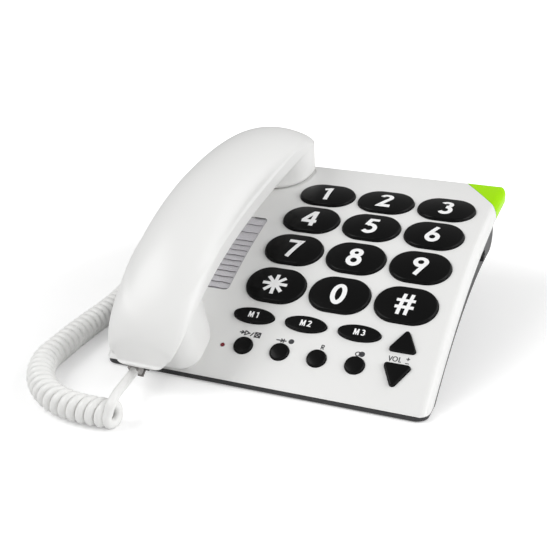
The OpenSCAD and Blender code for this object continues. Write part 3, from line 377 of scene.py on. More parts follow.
def make_materials(look):
    """Makes each finish once. Pieces and nodes then share them by name."""
    MATERIALS.update({
        "shell": moulded("white_shell_plastic", look.shell_colour, 0.36, coat=0.08,
                         spread=0.015, vary=0.012),
        "dark": moulded("dark_shell_plastic", look.dark_colour, 0.42, height=3e-5, vary=0.2),
        "key": moulded("key_plastic", look.key_colour, 0.36, grain=1400.0, height=8e-6,
                       gloss=0.06, coat=0.15, vary=0.25),
        "numeral": moulded("numeral_paint", (0.93, 0.93, 0.93), 0.4, height=5e-6, vary=0.02),
        "print": moulded("grey_print", (0.045, 0.045, 0.05), 0.5, height=3e-6, vary=0.1),
        "lens": lime_plastic("lime_lens_plastic", look.lens_colour, LENS_PAINTED_EDGE_LIGHT),
        "cover": window_plastic("card_cover_plastic", (0.94, 0.94, 0.97), 0.16),
        "card": printed_card("index_card_paper", (0.66, 0.64, 0.67)),
        "rule": moulded("card_rule_ink", (0.10, 0.09, 0.10), 0.6, height=2e-6, vary=0.3),
        "rubber": moulded("foot_rubber", (0.03, 0.03, 0.03), 0.75, height=6e-5, vary=0.2),
        "mat": moulded("key_mat_rubber", (0.30, 0.30, 0.31), 0.6, height=4e-5, vary=0.1),
        "board": moulded("board_laminate", (0.03, 0.22, 0.08), 0.35, grain=300.0, vary=0.2),
        "black": moulded("black_moulding_plastic", (0.025, 0.025, 0.027), 0.5, vary=0.2),
        "steel": metal("screw_steel", (0.66, 0.66, 0.68), 0.32),
        "weight": metal("weight_steel", (0.42, 0.42, 0.44), 0.5),
        "gold": metal("contact_gold", (0.85, 0.62, 0.25), 0.25),
        "red": clear_plastic("status_lamp_plastic", (0.22, 0.02, 0.03), 0.2, 0.1),
        "green": clear_plastic("ringer_lamp_plastic", (0.55, 0.85, 0.40), 0.15, 0.3),
        "plug": clear_plastic("plug_plastic", (0.62, 0.60, 0.59), 0.18, 0.4),
        "latch": clear_plastic("latch_plastic", (0.34, 0.32, 0.31), 0.2, 0.3),
        "cord": moulded("cord_jacket_plastic", look.cord_colour, 0.36, grain=700.0,
                        height=1e-5, vary=0.02),
    })


def paint_node(name, finish):
    """Gives a node of the frame its finished material."""
    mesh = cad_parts[name].data
    mesh.materials.clear()
    mesh.materials.append(MATERIALS[finish])


# ---- Settings ----


class HandsetSettings(bpy.types.PropertyGroup):
    width: bpy.props.FloatProperty(
        name="Width", description="Width of the handset", default=0.0496, unit="LENGTH")
    crown: bpy.props.FloatProperty(
        name="Crown", description="Height of the crown above the handset's origin",
        default=0.0516, unit="LENGTH")
    cup_width: bpy.props.FloatProperty(
        name="Cup width", description="Width of the ear and mouth cups",
        default=0.048, unit="LENGTH")


class KeySettings(bpy.types.PropertyGroup):
    width: bpy.props.FloatProperty(
        name="Key width", description="Width of a number key", default=0.038, unit="LENGTH")
    height: bpy.props.FloatProperty(
        name="Key height", description="Height of a number key, along the face",
        default=0.028, unit="LENGTH")
    rise: bpy.props.FloatProperty(
        name="Key rise", description="Height of a number key's crown above the face",
        default=0.0032, unit="LENGTH")
    stroke: bpy.props.FloatProperty(
        name="Numeral stroke", description="Stroke width of the large numerals",
        default=0.0029, unit="LENGTH")


class CordSettings(bpy.types.PropertyGroup):
    diameter: bpy.props.FloatProperty(
        name="Cord diameter", description="Diameter of the cord", default=0.0053, unit="LENGTH")
    coil: bpy.props.FloatProperty(
        name="Coil diameter", description="Outer diameter of the coiled part",
        default=0.0165, unit="LENGTH")
    pitch: bpy.props.FloatProperty(
        name="Turn spacing", description="Distance from one turn to the next",
        default=0.0057, unit="LENGTH")


class LookSettings(bpy.types.PropertyGroup):
    shell_colour: bpy.props.FloatVectorProperty(
        name="Shell", description="Colour of the white mouldings", subtype="COLOR",
        size=3, min=0, max=1, default=(0.84, 0.84, 0.83))
    dark_colour: bpy.props.FloatVectorProperty(
        name="Bottom shell", description="Colour of the dark mouldings", subtype="COLOR",
        size=3, min=0, max=1, default=(0.035, 0.035, 0.037))
    key_colour: bpy.props.FloatVectorProperty(
        name="Keys", description="Colour of the keys", subtype="COLOR",
        size=3, min=0, max=1, default=(0.004, 0.004, 0.004))
    lens_colour: bpy.props.FloatVectorProperty(
        name="Ringer lens", description="Colour of the ringer lens", subtype="COLOR",
        size=3, min=0, max=1, default=(0.24, 0.62, 0.001))
    cord_colour: bpy.props.FloatVectorProperty(
        name="Cord", description="Colour of the cord", subtype="COLOR",
        size=3, min=0, max=1, default=(0.88, 0.88, 0.865))


class StageSettings(bpy.types.PropertyGroup):
    floor_size: bpy.props.FloatProperty(
        name="Floor size", description="Side of the square floor", default=8.0, unit="LENGTH")
    lamp_power: bpy.props.FloatProperty(
        name="Main lamp", description="Power of the main soft lamp, in watts", default=11.5)
    rear_power: bpy.props.FloatProperty(
        name="Rear lamp", description="Power of the soft lamp behind, in watts", default=7.0)
    front_power: bpy.props.FloatProperty(
        name="Front lamp", description="Power of the soft lamp in front, in watts", default=2.5)
    side_power: bpy.props.FloatProperty(
        name="Side lamp", description="Power of the soft lamp on the right, in watts", default=7.5)
    sky: bpy.props.FloatProperty(
        name="Sky", description="Strength of the even light from all round", default=0.34)


class TelephoneSettings(bpy.types.PropertyGroup):
    handset: bpy.props.PointerProperty(type=HandsetSettings)
    keys: bpy.props.PointerProperty(type=KeySettings)
    cord: bpy.props.PointerProperty(type=CordSettings)
    look: bpy.props.PointerProperty(type=LookSettings)
    stage: bpy.props.PointerProperty(type=StageSettings)


def settings():
    return bpy.context.scene.telephone


# ---- Stage ----

CAMERA_AT = Vector((206.3, -573.5, 286.5))
CAMERA_TO = Vector((-5.4, -49.3, 57.4))
CAMERA_LENS = 68.4
LAMP_AIM = Vector((0, 0, 0.03))
# The floor's glow as the camera sees it, up to the near distance. It rises to 1 at the far one.
FLOOR_GLOW, FLOOR_NEAR, FLOOR_FAR = 0.28, 0.2, 0.5


def add_aimed(name, data, place, target):
    """Adds a camera or lamp that faces the target."""
    obj = bpy.data.objects.new(name, data)
    obj.location = place
    obj.rotation_euler = (target - place).to_track_quat("-Z", "Y").to_euler()
    bpy.context.scene.collection.objects.link(obj)
    return obj


def add_camera(scene):
    camera = bpy.data.cameras.new("camera")
    camera.sensor_width = 36.0
    camera.lens = CAMERA_LENS
    camera.clip_start = 0.01
    scene.camera = add_aimed("camera", camera, CAMERA_AT * MM, CAMERA_TO * MM)


def area_lamp(name, place, size, power):
    """A soft square lamp that faces the object."""
    lamp = bpy.data.lights.new(name, "AREA")
    lamp.shape = "SQUARE"
    lamp.size = size
    lamp.energy = power
    add_aimed(name, lamp, Vector(place), LAMP_AIM)


def add_sky(scene, strength):
    """A sky of low strength for lighting, and of 1 where the camera or a clear piece sees it."""
    world = bpy.data.worlds.new("sky")
    world.use_nodes = True
    scene.world = world
    tree = world.node_tree
    back = tree.nodes["Background"]
    set_inputs(back, Color=(1, 1, 1, 1))
    rays = tree.nodes.new("ShaderNodeLightPath")
    either = tree.nodes.new("ShaderNodeMath")
    either.operation = "MAXIMUM"
    span = tree.nodes.new("ShaderNodeMapRange")
    set_inputs(span, To_Min=strength, To_Max=1.0)
    tree.links.new(rays.outputs["Is Camera Ray"], either.inputs[0])
    tree.links.new(rays.outputs["Is Transmission Ray"], either.inputs[1])
    tree.links.new(either.outputs[0], span.inputs["Value"])
    tree.links.new(span.outputs["Result"], back.inputs["Strength"])


def floor_paper():
    """Pale paper that takes the shadow and looks white to the camera away from the object."""
    material, tree, bsdf = principled("floor_paper")
    fibre = add_noise(tree, 400.0)
    add_tint(tree, bsdf, fibre.outputs["Fac"], (0.86, 0.86, 0.86), (0.88, 0.88, 0.88))
    set_inputs(bsdf, Roughness=0.9, Specular_IOR_Level=0.1, Emission_Color=(1, 1, 1, 1))
    place = tree.nodes.new("ShaderNodeTexCoord")
    away = tree.nodes.new("ShaderNodeVectorMath")
    away.operation = "LENGTH"
    tree.links.new(place.outputs["Object"], away.inputs[0])
    span = tree.nodes.new("ShaderNodeMapRange")
    set_inputs(span, From_Min=FLOOR_NEAR, From_Max=FLOOR_FAR, To_Min=FLOOR_GLOW, To_Max=1.0)
    tree.links.new(away.outputs["Value"], span.inputs["Value"])
    rays = tree.nodes.new("ShaderNodeLightPath")
    seen = tree.nodes.new("ShaderNodeMath")
    seen.operation = "MULTIPLY"
    tree.links.new(rays.outputs["Is Camera Ray"], seen.inputs[0])
    tree.links.new(span.outputs["Result"], seen.inputs[1])
    tree.links.new(seen.outputs[0], bsdf.inputs["Emission Strength"])
    return material


def add_floor(size):
    half = size / 2 / MM
    corners = [(-half, -half, 0), (half, -half, 0), (half, half, 0), (-half, half, 0)]
    floor = new_mesh("floor", (corners, [(0, 1, 2, 3)]), floor_paper(), smooth=False)


class TELEPHONE_OT_stage(bpy.types.Operator):
    """Makes the camera, the lamps, the sky and the floor"""
    bl_idname = "telephone.stage"
    bl_label = "Stage"

    def execute(self, context):
        stage = settings().stage
        context.scene.view_settings.view_transform = "Standard"
        add_camera(context.scene)
        add_sky(context.scene, stage.sky)
        area_lamp("main_lamp", (-0.9, -0.6, 1.1), 1.0, stage.lamp_power)
        area_lamp("rear_lamp", (1.0, 0.7, 0.9), 1.4, stage.rear_power)
        area_lamp("front_lamp", (0.9, -1.0, 0.8), 1.0, stage.front_power)
        area_lamp("side_lamp", (1.3, -0.15, 0.7), 0.8, stage.side_power)
        add_floor(stage.floor_size)
        return {"FINISHED"}


# ---- Plugs ----

PLUG_W, PLUG_H, PLUG_IN, PLUG_OUT = 7.7, 6.6, 9.5, 4.0
# Where the cord leaves the two plugs
BASE_PLUG_END = (-102.9, 58.0, 52.4)
HANDSET_PLUG_END = (-66.0, -112.28, 11.71)
# Where the handset's plug goes into its jack, and how far it leans
HANDSET_JACK, HANDSET_PLUG_LEAN = (-66, -109, 14), 35.0
# The contacts lie in slots between five ribs, in the top of the plug's tip
SLOT_DEPTH, SLOT_L, RIB_PITCH, RIB_W, CONTACT_W = 1.4, 3.4, 1.3, 0.7, 0.4
LATCH_W, LATCH_T = 3.6, 0.8
# The latch's upper side: distance back from the plug's tip, and depth below its underside
LATCH_LINE = [(3.96, -0.2), (5.175, 0.6), (7.2, 1.15), (9.9, 1.5), (13.41, 1.7)]


def block(low, high, chamfer):
    """A box with chamfered upright edges."""
    x0, y0, z0 = low
    x1, y1, z1 = high
    c = chamfer
    corners = [(x0 + c, y0), (x1 - c, y0), (x1, y0 + c), (x1, y1 - c), (x1 - c, y1), (x0 + c, y1),
               (x0, y1 - c), (x0, y0 + c)]
    return loop_stack([(corners, z0), (corners, z1)], base=True)


class TELEPHONE_OT_plugs(bpy.types.Operator):
    """Makes the two modular plugs with their contacts and latches"""
    bl_idname = "telephone.plugs"
    bl_label = "Plugs"

    def execute(self, context):
        at = tilted(HANDSET_JACK, HANDSET_PLUG_LEAN) @ Matrix.Translation((0, -PLUG_OUT, 0))
        self.plug("handset", at, 2.2)
        turn = Matrix.Rotation(-math.pi / 2, 4, "Z")
        self.plug("base", Matrix.Translation(BASE_PLUG_END) @ turn, 0.0)
        return {"FINISHED"}

    def plug(self, body, at, latch_x):
        """One plug whose tip points along Y and whose latch hangs under it at latch_x."""
        w, h, tip = PLUG_W / 2, PLUG_H / 2, PLUG_IN + PLUG_OUT
        slot, slot_end = h - SLOT_DEPTH, tip - SLOT_L
        parts = [block((-w, 0, -h), (w, tip, slot), 0.6)]
        for i in range(-2, 3):
            x = i * RIB_PITCH
            parts.append(block((x - RIB_W / 2, slot_end, slot - 0.1), (x + RIB_W / 2, tip, h), 0.1))
        parts.append(block((-w, 1.2, slot - 0.05), (w, slot_end - 0.2, h), 0.4))
        make_piece(body + "_plug_body", joined(*parts), "plug", body, "clear_plug",
                   body + "_plug", at=at)

        parts = []
        for i in range(-2, 2):
            x = (i + 0.5) * RIB_PITCH
            parts.append(block((x - CONTACT_W / 2, slot_end + 0.1, slot),
                               (x + CONTACT_W / 2, tip - 0.3, h - 0.5), 0.05))
        make_piece(body + "_plug_contacts", joined(*parts), "gold", body, "steel", at=at)

        points = []
        left, right = latch_x - LATCH_W / 2, latch_x + LATCH_W / 2
        for back, drop in LATCH_LINE:
            y, z = tip - back, -h - drop
            points += [(left, y, z), (right, y, z), (right, y, z - LATCH_T), (left, y, z - LATCH_T)]
        faces = strip_faces(len(LATCH_LINE), 4) + end_faces(points, 4)
        make_piece(body + "_plug_latch", (points, faces), "latch", body, "clear_plug", at=at)


# ---- Cord ----

BASE_LEAD = [(-110, 58, 52), (-122, 59, 49), (-133, 60, 41), (-140, 59, 30), (-143, 55, 19),
             (-143, 47, 11), (-142, 39, 8.6)]
COIL_ROUTE = [(-53.5, -154.3, 8.4), (-55, -154.3, 8.4), (-64, -155.3, 8.4), (-76, -155.5, 8.4),
              (-89, -153, 8.4), (-101, -147, 8.4), (-112, -137, 8.4), (-120, -125, 8.4),
              (-125, -111, 8.4), (-126, -96, 8.4), (-127, -76, 8.4), (-127, -54, 8.4),
              (-127, -32, 8.4), (-129, -10, 8.4), (-134, 12, 8.4), (-140, 32, 8.4)]
HANDSET_LEAD = [(-65.4, -116.5, 11.5), (-61.2, -130, 14.4), (-57.2, -142, 17.3), (-54.8, -151, 18.6),
                (-54.4, -157, 16.4)]
TURN_STEPS, AXIS_STEP, LEAD_STEP = 20, 0.4, 1.5
# Where on the coil its first turn starts, in degrees from the top
FIRST_TURN = 60.0
# The first turns lean, so that the end one stands open
END_TILT, TILTED_TURNS = 2.2, 6


def smooth_line(points, step):
    """A Catmull-Rom curve through the points, with a point every step or so."""
    points = [Vector(p) for p in points]
    ends = [2 * points[0] - points[1]] + points + [2 * points[-1] - points[-2]]
    line = []
    for i in range(1, len(ends) - 2):
        p0, p1, p2, p3 = ends[i - 1:i + 3]
        count = max(2, int((p2 - p1).length / step))
        for k in range(count):
            t = k / count
            line.append(0.5 * (2 * p1 + (p2 - p0) * t + (2 * p0 - 5 * p1 + 4 * p2 - p3) * t * t
                               + (3 * p1 - p0 - 3 * p2 + p3) * t ** 3))
    line.append(points[-1])
    return line


def helix_line(route, radius, pitch):
    """The turns of the coil from the handset's end to the base's end of the route."""
    axis = smooth_line(route, AXIS_STEP)
    travelled = [0.0]
    for a, b in zip(axis, axis[1:]):
        travelled.append(travelled[-1] + (b - a).length)
    length = travelled[-1]
    turns = round(length / pitch)
    steps = turns * TURN_STEPS
    line = []
    k = 0
    for i in range(steps + 1):
        along = length * i / steps
        while k < len(axis) - 2 and travelled[k + 1] < along:
            k += 1
        t = (along - travelled[k]) / max(1e-9, travelled[k + 1] - travelled[k])
        centre = axis[k].lerp(axis[k + 1], min(1, t))
        forward = (axis[min(k + 4, len(axis) - 1)] - axis[max(0, k - 4)]).normalized()
        across = forward.cross(Vector((0, 0, 1)))
        turn = math.radians(FIRST_TURN) + 2 * math.pi * turns * i / steps
        tilt = END_TILT * max(0.0, 1 - i / (TILTED_TURNS * TURN_STEPS))
        line.append(centre + radius * (math.cos(turn) * Vector((0, 0, 1)) - math.sin(turn) * across)
                    + tilt * math.sin(turn) * forward)
    return line


def tube(line, radius, sides=14):
    """A round tube along a line, with closed ends, whose rings don't twist."""
    points = []
    normal = None
    for i, p in enumerate(line):
        t = (line[min(i + 1, len(line) - 1)] - line[max(i - 1, 0)]).normalized()
        if normal is None:
            normal = t.orthogonal().normalized()
        normal = (normal - t * normal.dot(t)).normalized()
        other = t.cross(normal)
        for k in range(sides):
            a = 2 * math.pi * k / sides
            points.append(p + radius * (math.cos(a) * normal + math.sin(a) * other))
    return points, strip_faces(len(line), sides) + end_faces(points, sides)


class TELEPHONE_OT_cord(bpy.types.Operator):
    """Makes the coiled cord with its two straight ends"""
    bl_idname = "telephone.cord"
    bl_label = "Cord"

    def execute(self, context):
        cord = settings().cord
        d = cord.diameter / MM
        turn_r = (cord.coil / MM - d) / 2
        coil = helix_line(COIL_ROUTE, turn_r, cord.pitch / MM)
        front = smooth_line([HANDSET_PLUG_END] + HANDSET_LEAD + [coil[0]], LEAD_STEP)
        back = smooth_line([coil[-1]] + BASE_LEAD[::-1] + [BASE_PLUG_END], LEAD_STEP)
        line = front[:-1] + coil[:-1] + back
        obj = new_mesh("curly_cord", tube(line, d / 2), MATERIALS["cord"], sharp=60)
        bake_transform(obj)
        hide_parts("coil_cord", "base_lead", "handset_lead")
        return {"FINISHED"}


# ---- Strokes and characters ----


def stroke(*points):
    """A stroke with two ends, marked False. A closed one is marked True."""
    return list(points), False


def ring(x, y, r, n=48):
    """A closed round stroke."""
    return arc(x, y, r, 0, 360 - 360 / n, n - 1), True


def square_line(x, y, half):
    left, right, low, high = x - half, x + half, y - half, y + half
    return [(left, low), (right, low), (right, high), (left, high)], True


def dense(line, closed, step):
    """Splits long straight stretches, so that a stroke can follow a curved surface."""
    out = []
    for a, b in zip(line, line[1:] + ([line[0]] if closed else [])):
        count = max(1, int(math.hypot(b[0] - a[0], b[1] - a[1]) / step))
        out += [(a[0] + (b[0] - a[0]) * i / count, a[1] + (b[1] - a[1]) * i / count)
                for i in range(count)]
    if not closed:
        out.append(line[-1])
    return out


def strokes_mesh(strokes, width, place):
    """Flat strokes laid on a surface. place(x, y, layer) gives each point in space.

    Each stroke has a layer of its own, so that strokes that cross don't share a plane.
    """
    points, faces = [], []
    for layer, (line, closed) in enumerate(strokes):
        line = dense(line, closed, 0.8)
        left, right = ribbon(line, width, closed)
        start = len(points)
        for a, b in zip(left, right):
            points += [place(*a, layer), place((a[0] + b[0]) / 2, (a[1] + b[1]) / 2, layer),
                       place(*b, layer)]
        n = len(line)
        for i in range(n if closed else n - 1):
            a, b = start + 3 * i, start + 3 * ((i + 1) % n)
            faces += [(a, a + 1, b + 1, b), (a + 1, a + 2, b + 2, b + 1)]
    return points, faces


def scaled(strokes, k, dx=0.0, dy=0.0):
    """The same strokes k times as large, and moved by dx and dy."""
    return [([(x * k + dx, y * k + dy) for x, y in line], closed) for line, closed in strokes]


# Centre lines of 16 mm high bold characters. A 9 is a 6 turned round.
CHARACTERS = {
    "0": [(ellipse(6.7, 13.4, n=48), True)],
    "1": [stroke((0.9, 8.15), (0.9, -8.15)), stroke((-3.1, 5.0), (1.6, 6.9))],
    "2": [stroke(*arc(0.1, 3.55, 3.2, 168, -32, 20), (-2.7, -6.7), (4.6, -6.7))],
    "3": [stroke(*arc(-0.1, 3.75, 2.95, 152, -88, 20)), stroke(*arc(-0.1, -3.15, 3.5, 92, -148, 22))],
    "4": [stroke((2.3, 8.15), (2.3, -8.15)), stroke((1.6, 7.6), (-4.1, -3.6)),
          stroke((-5.0, -3.6), (5.0, -3.6))],
    "5": [stroke((4.2, 6.7), (-1.1, 6.7), (-2.6, 0.2)),
          stroke(*arc(-0.5, -2.75, 3.85, 118, -142, 24))],
    "6": [ring(0.0, -3.35, 3.35), stroke((1.5, 7.9), (-2.9, -1.6))],
    "7": [stroke((-4.6, 6.7), (3.5, 6.7), (-1.9, -8.1))],
    "8": [ring(0, 3.75, 2.85), ring(0, -3.25, 3.5)],
    "*": [stroke(*arc(0, 0, 7.9, 180 + a, a, 1)) for a in (0, 45, 90, 135)],
    "#": [stroke((-3.1, -8.1), (-1.5, 8.1)), stroke((1.5, -8.1), (3.1, 8.1)),
          stroke((-5.7, 2.6), (5.7, 2.6)), stroke((-5.7, -2.6), (5.7, -2.6))],
    "M": [stroke((-4.6, -8.15), (-4.2, 8.0)), stroke((4.6, -8.15), (4.2, 8.0)),
          stroke((-4.0, 7.4), (0, -5.4), (4.0, 7.4))],
    "R": [stroke((-3.4, -8.1), (-3.4, 8.1)),
          stroke((-3.4, 7.6), (0.4, 7.6), *arc(0.4, 3.9, 3.7, 90, -90, 12), (-3.4, 0.2)),
          stroke((0.2, 0.2), (4.2, -8.1))],
    "V": [stroke((-5.0, 8.1), (0, -7.6), (5.0, 8.1))],
    "O": [(ellipse(12.8, 15.0, n=40), True)],
    "L": [stroke((-3.0, 8.1), (-3.0, -7.6), (3.4, -7.6))],
}
CHARACTERS["9"] = scaled(CHARACTERS["6"], -1)


# ---- Keys ----

# Middle of the number keys across the face, and their pitch across it and up it
KEY_X, PITCH_X, PITCH_S = 28.5, 41.0, 33.1
NUMBER_NODES = ["key_" + name for name in "1 2 3 4 5 6 7 8 9 star 0 hash".split()]
NUMBER_DOME, NUMBER_EDGE, NUMBER_LOW = 1.2, 1.4, -3.0
FLANGE_GROW, FLANGE_LOW, FLANGE_TOP = 2.2, -3.9, -2.9
# The numerals stand a little below each key's middle and just clear of its crown
NUMERAL_DROP, NUMERAL_LIFT = 1.2, 0.035
# The star and the hash have slightly thinner strokes than the digits
THIN_STROKES = {"*": 0.8, "#": 0.78}


def rounded_wall(outline_at, low, shoulder, inset, lift, steps):
    """Loops for a key's wall and the rounded edge above it. outline_at takes an inset."""
    loops = [(outline_at(0), low), (outline_at(0), shoulder)]
    for k in range(1, steps + 1):
        a = math.radians(90 * k / steps)
        loops.append((outline_at(inset * (1 - math.cos(a))), shoulder + lift * math.sin(a)))
    return loops


def fillet_loops(outline_at, low, rise, dome, edge, reach, steps=7, rings=9):
    """Loops for a crown: wall, rounded edge and shallow dome."""
    loops = rounded_wall(outline_at, low, rise - dome - edge, edge, edge, steps)
    for i in range(1, rings + 1):
        k = i / rings
        loops.append((outline_at(edge + (reach - edge) * k), rise - dome * (1 - k) ** 2))
    return loops


def crown_height(x, y, w, h, rise, dome, edge):
    """Height of a rounded-end key's crown at a place on it."""
    off = math.hypot(max(0.0, abs(x) - (w - h) / 2), y)
    return rise - dome * (off / (h / 2 - edge)) ** 2


def add_cap(node, shape, at):
    make_piece(node + "_cap", shape, "key", node, "key_black", node, at=at)


class TELEPHONE_OT_number_keys(bpy.types.Operator):
    """Makes the twelve large keys and their numerals"""
    bl_idname = "telephone.number_keys"
    bl_label = "Number keys"

    def execute(self, context):
        keys = settings().keys
        w, h, rise = keys.width / MM, keys.height / MM, keys.rise / MM
        crown = loop_stack(fillet_loops(lambda inset: pill(w, h, inset), NUMBER_LOW, rise,
                                        NUMBER_DOME, NUMBER_EDGE, h / 2))
        rim = pill(w + FLANGE_GROW, h + FLANGE_GROW, 0)
        flange = loop_stack([(rim, FLANGE_LOW), (rim, FLANGE_TOP), (pill(w, h, 0.2), FLANGE_TOP)])

        def on_crown(x, y, layer):
            y -= NUMERAL_DROP
            z = crown_height(x, y, w, h, rise, NUMBER_DOME, NUMBER_EDGE)
            return x, y, z + NUMERAL_LIFT + 0.006 * layer

        for i, (node, character) in enumerate(zip(NUMBER_NODES, "123456789*0#")):
            at = face_frame(KEY_X + (i % 3 - 1) * PITCH_X, (1.5 - i // 3) * PITCH_S)
            add_cap(node, joined(crown, flange), at)
            width = keys.stroke / MM * THIN_STROKES.get(character, 1.0)
            numeral = strokes_mesh(CHARACTERS[character], width, on_crown)
            make_piece(node + "_numeral", numeral, "numeral", node, "white_shell", at=at)
        return {"FINISHED"}


# Places, pitches and sizes of the small keys, across the face (X) and up it (S)
MEMORY_X, MEMORY_PITCH, MEMORY_S, MEMORY_W, MEMORY_H = 15.6, 33.0, -75.65, 26.0, 11.0
ROUND_X, ROUND_PITCH, ROUND_S, ROUND_D = -16.7, 22.9, -97.35, 11.4
VOLUME_X, VOLUME_S, VOLUME_PITCH, VOLUME_W, VOLUME_H, VOLUME_R = 76.0, -87.75, 24.6, 17.2, 16.2, 1.6
SMALL_LOW, SMALL_RISE, SMALL_EDGE = -2.4, 2.0, 0.8
# The oval keys' labels: how far below the middle, stroke, size and the characters' places
LABEL_DROP, LABEL_STROKE, LABEL_SIZE, LETTER_X, DIGIT_X = 0.1, 0.8, 0.27, -1.5, 2.5


def low_crown(outline_at, round_up, dome, steps, shrinks, middle=(0, 0)):
    """A small key's crown: wall, edge that rounds up, and a slight dome drawn in to the middle."""
    loops = rounded_wall(outline_at, SMALL_LOW, SMALL_RISE - dome - round_up, SMALL_EDGE, round_up,
                         steps)
    for q in shrinks:
        loops.append(([(middle[0] + (x - middle[0]) * q, middle[1] + (y - middle[1]) * q)
                       for x, y in outline_at(SMALL_EDGE)], SMALL_RISE - dome * q * q))
    return loop_stack(loops)


class TELEPHONE_OT_small_keys(bpy.types.Operator):
    """Makes the memory, function and volume keys"""
    bl_idname = "telephone.small_keys"
    bl_label = "Small keys"

    def execute(self, context):
        for i in range(3):
            at = face_frame(MEMORY_X + (i - 1) * MEMORY_PITCH, MEMORY_S)
            self.memory_key("memory_key_%d" % (i + 1), str(i + 1), at)
        for i in range(4):
            loops = fillet_loops(lambda inset: ellipse(ROUND_D, ROUND_D, inset), SMALL_LOW,
                                 SMALL_RISE, 0.35, 0.9, ROUND_D / 2 - 0.2)
            at = face_frame(ROUND_X + i * ROUND_PITCH, ROUND_S)
            add_cap("round_key_%d" % (i + 1), loop_stack(loops), at)
        self.volume_key("volume_up_key", 1)
        self.volume_key("volume_down_key", -1)
        return {"FINISHED"}

    def memory_key(self, node, digit, at):
        shrinks = [1 - k / 6 for k in range(1, 6)]
        add_cap(node, low_crown(lambda inset: ellipse(MEMORY_W, MEMORY_H, inset), 0.75, 0.15, 6,
                                shrinks), at)
        label = (scaled(CHARACTERS["M"], LABEL_SIZE, LETTER_X)
                 + scaled(CHARACTERS[digit], LABEL_SIZE, DIGIT_X))
        print_mesh = strokes_mesh(label, LABEL_STROKE, lambda x, y, layer: (
            x, y - LABEL_DROP, SMALL_RISE + 0.03 + 0.005 * layer))
        make_piece(node + "_label", print_mesh, "numeral", node, "white_shell", at=at)

    def volume_key(self, node, turn):
        """A triangular key that points up the face, or down it where turn is -1."""
        at = face_frame(VOLUME_X, VOLUME_S + turn * VOLUME_PITCH / 2)
        add_cap(node, low_crown(lambda inset: triangle(VOLUME_W, VOLUME_H, VOLUME_R, -inset, turn),
                                0.7, 0.1, 5, (0.8, 0.55, 0.3), (0, -VOLUME_H / 6 * turn)), at)


# ---- Print on the face ----

# Each symbol's stroke width and lines, across the face and up it
FACE_PRINT = [
    (0.806, [stroke((-22.2, -88.3), (-19.6, -88.2)),
             stroke((-20.9, -87.1), (-19.4, -88.2), (-20.9, -89.3)),
             stroke((-18.6, -86.8), (-18.6, -89.8), (-15.8, -88.2), (-18.6, -86.8)),
             stroke((-14.9, -90.0), (-13.2, -87.2)), square_line(-10.6, -88.6, 1.6),
             stroke((-12.0, -90.0), (-9.2, -87.2)), stroke((-12.0, -87.2), (-9.2, -90.0))]),
    (0.78, [stroke((1.6, -89.3), (5.2, -89.3)), stroke((4.4, -88.1), (5.8, -89.3), (4.4, -90.5)),
            stroke((6.3, -87.9), (6.3, -90.7)), stroke((6.3, -89.3), (8.0, -89.3))]),
    (1.95, [ring(10.9, -89.0, 0.75, 20)]),
    (0.65, scaled(CHARACTERS["R"], 0.19, 30.3, -89.1)),
    (0.65, [ring(51.7, -89.4, 1.35, 20)]),
    (2.08, [ring(54.0, -89.2, 0.8, 20)]),
    (0.585, scaled(CHARACTERS["V"], 0.2, 70.6, -88.4) + scaled(CHARACTERS["O"], 0.2, 73.4, -88.4)
     + scaled(CHARACTERS["L"], 0.2, 76.4, -88.4)),
    (0.585, [stroke((79.6, -87.2), (81.8, -87.2)), stroke((80.7, -86.1), (80.7, -88.3)),
             stroke((79.6, -90.2), (81.8, -90.2))]),
]


class TELEPHONE_OT_face_print(bpy.types.Operator):
    """Lays the small grey symbols on the curved face"""
    bl_idname = "telephone.face_print"
    bl_label = "Face print"

    def execute(self, context):
        for i, (width, strokes) in enumerate(FACE_PRINT):
            symbol = strokes_mesh(strokes, width,
                                  lambda x, s, layer: face_point(x, s, 0.02 + 0.004 * layer))
            make_piece("face_print_%d" % (i + 1), symbol, "print", "base", "dark_shell")
        return {"FINISHED"}


# ---- Index card ----

CARD_X, CARD_W, CARD_TOP, CARD_MARGIN = -41.6, 40.0, 12.0, 0.6
# The card's rules: three deep rows, and then narrow ones, each rule slightly wavy
DEEP_ROW, NARROW_ROW, NARROW_ROWS = 8.6, 4.95, 9
RULE_WIDTH, RULE_POINTS, RULE_WAVE = 0.6, 25, 0.16
# The slot at the card's upper end, as distances from the card's right edge
SLOT_FROM, SLOT_TO, SLOT_WIDTH = 9.5, 1.6, 1.0


class TELEPHONE_OT_index_card(bpy.types.Operator):
    """Rules the index card and paints the slot at its upper end as a dark strip of painted shade"""
    bl_idname = "telephone.index_card"
    bl_label = "Index card"

    def execute(self, context):
        paint_node("index_card", "card")
        paint_node("card_cover", "cover")
        left, right = CARD_X - CARD_W + CARD_MARGIN, CARD_X - CARD_MARGIN
        rules = [CARD_TOP - DEEP_ROW * (i + 1) for i in range(3)]
        rules += [rules[-1] - NARROW_ROW * (i + 1) for i in range(NARROW_ROWS)]
        lines = []
        for i, s in enumerate(rules):
            lines.append(stroke(*((left + (right - left) * k / (RULE_POINTS - 1),
                                   s + RULE_WAVE * math.sin(1.1 * k + 2.3 * i))
                                  for k in range(RULE_POINTS))))
        ruling = strokes_mesh(lines, RULE_WIDTH, lambda x, s, layer: face_point(x, s, -0.02))
        make_piece("card_rules", ruling, "rule", "base", "card")
        # The slot is a flat dark strip of painted shade, standing in for the shadow in its opening
        top = CARD_TOP - 0.3
        lines = [stroke((CARD_X - SLOT_FROM, top), (CARD_X - SLOT_TO, top))]
        slot = strokes_mesh(lines, SLOT_WIDTH, lambda x, s, layer: face_point(x, s, 0.01))
        make_piece("card_slot_painted_shade", slot, "print", "base", "card")
        return {"FINISHED"}


# ---- Handset ----

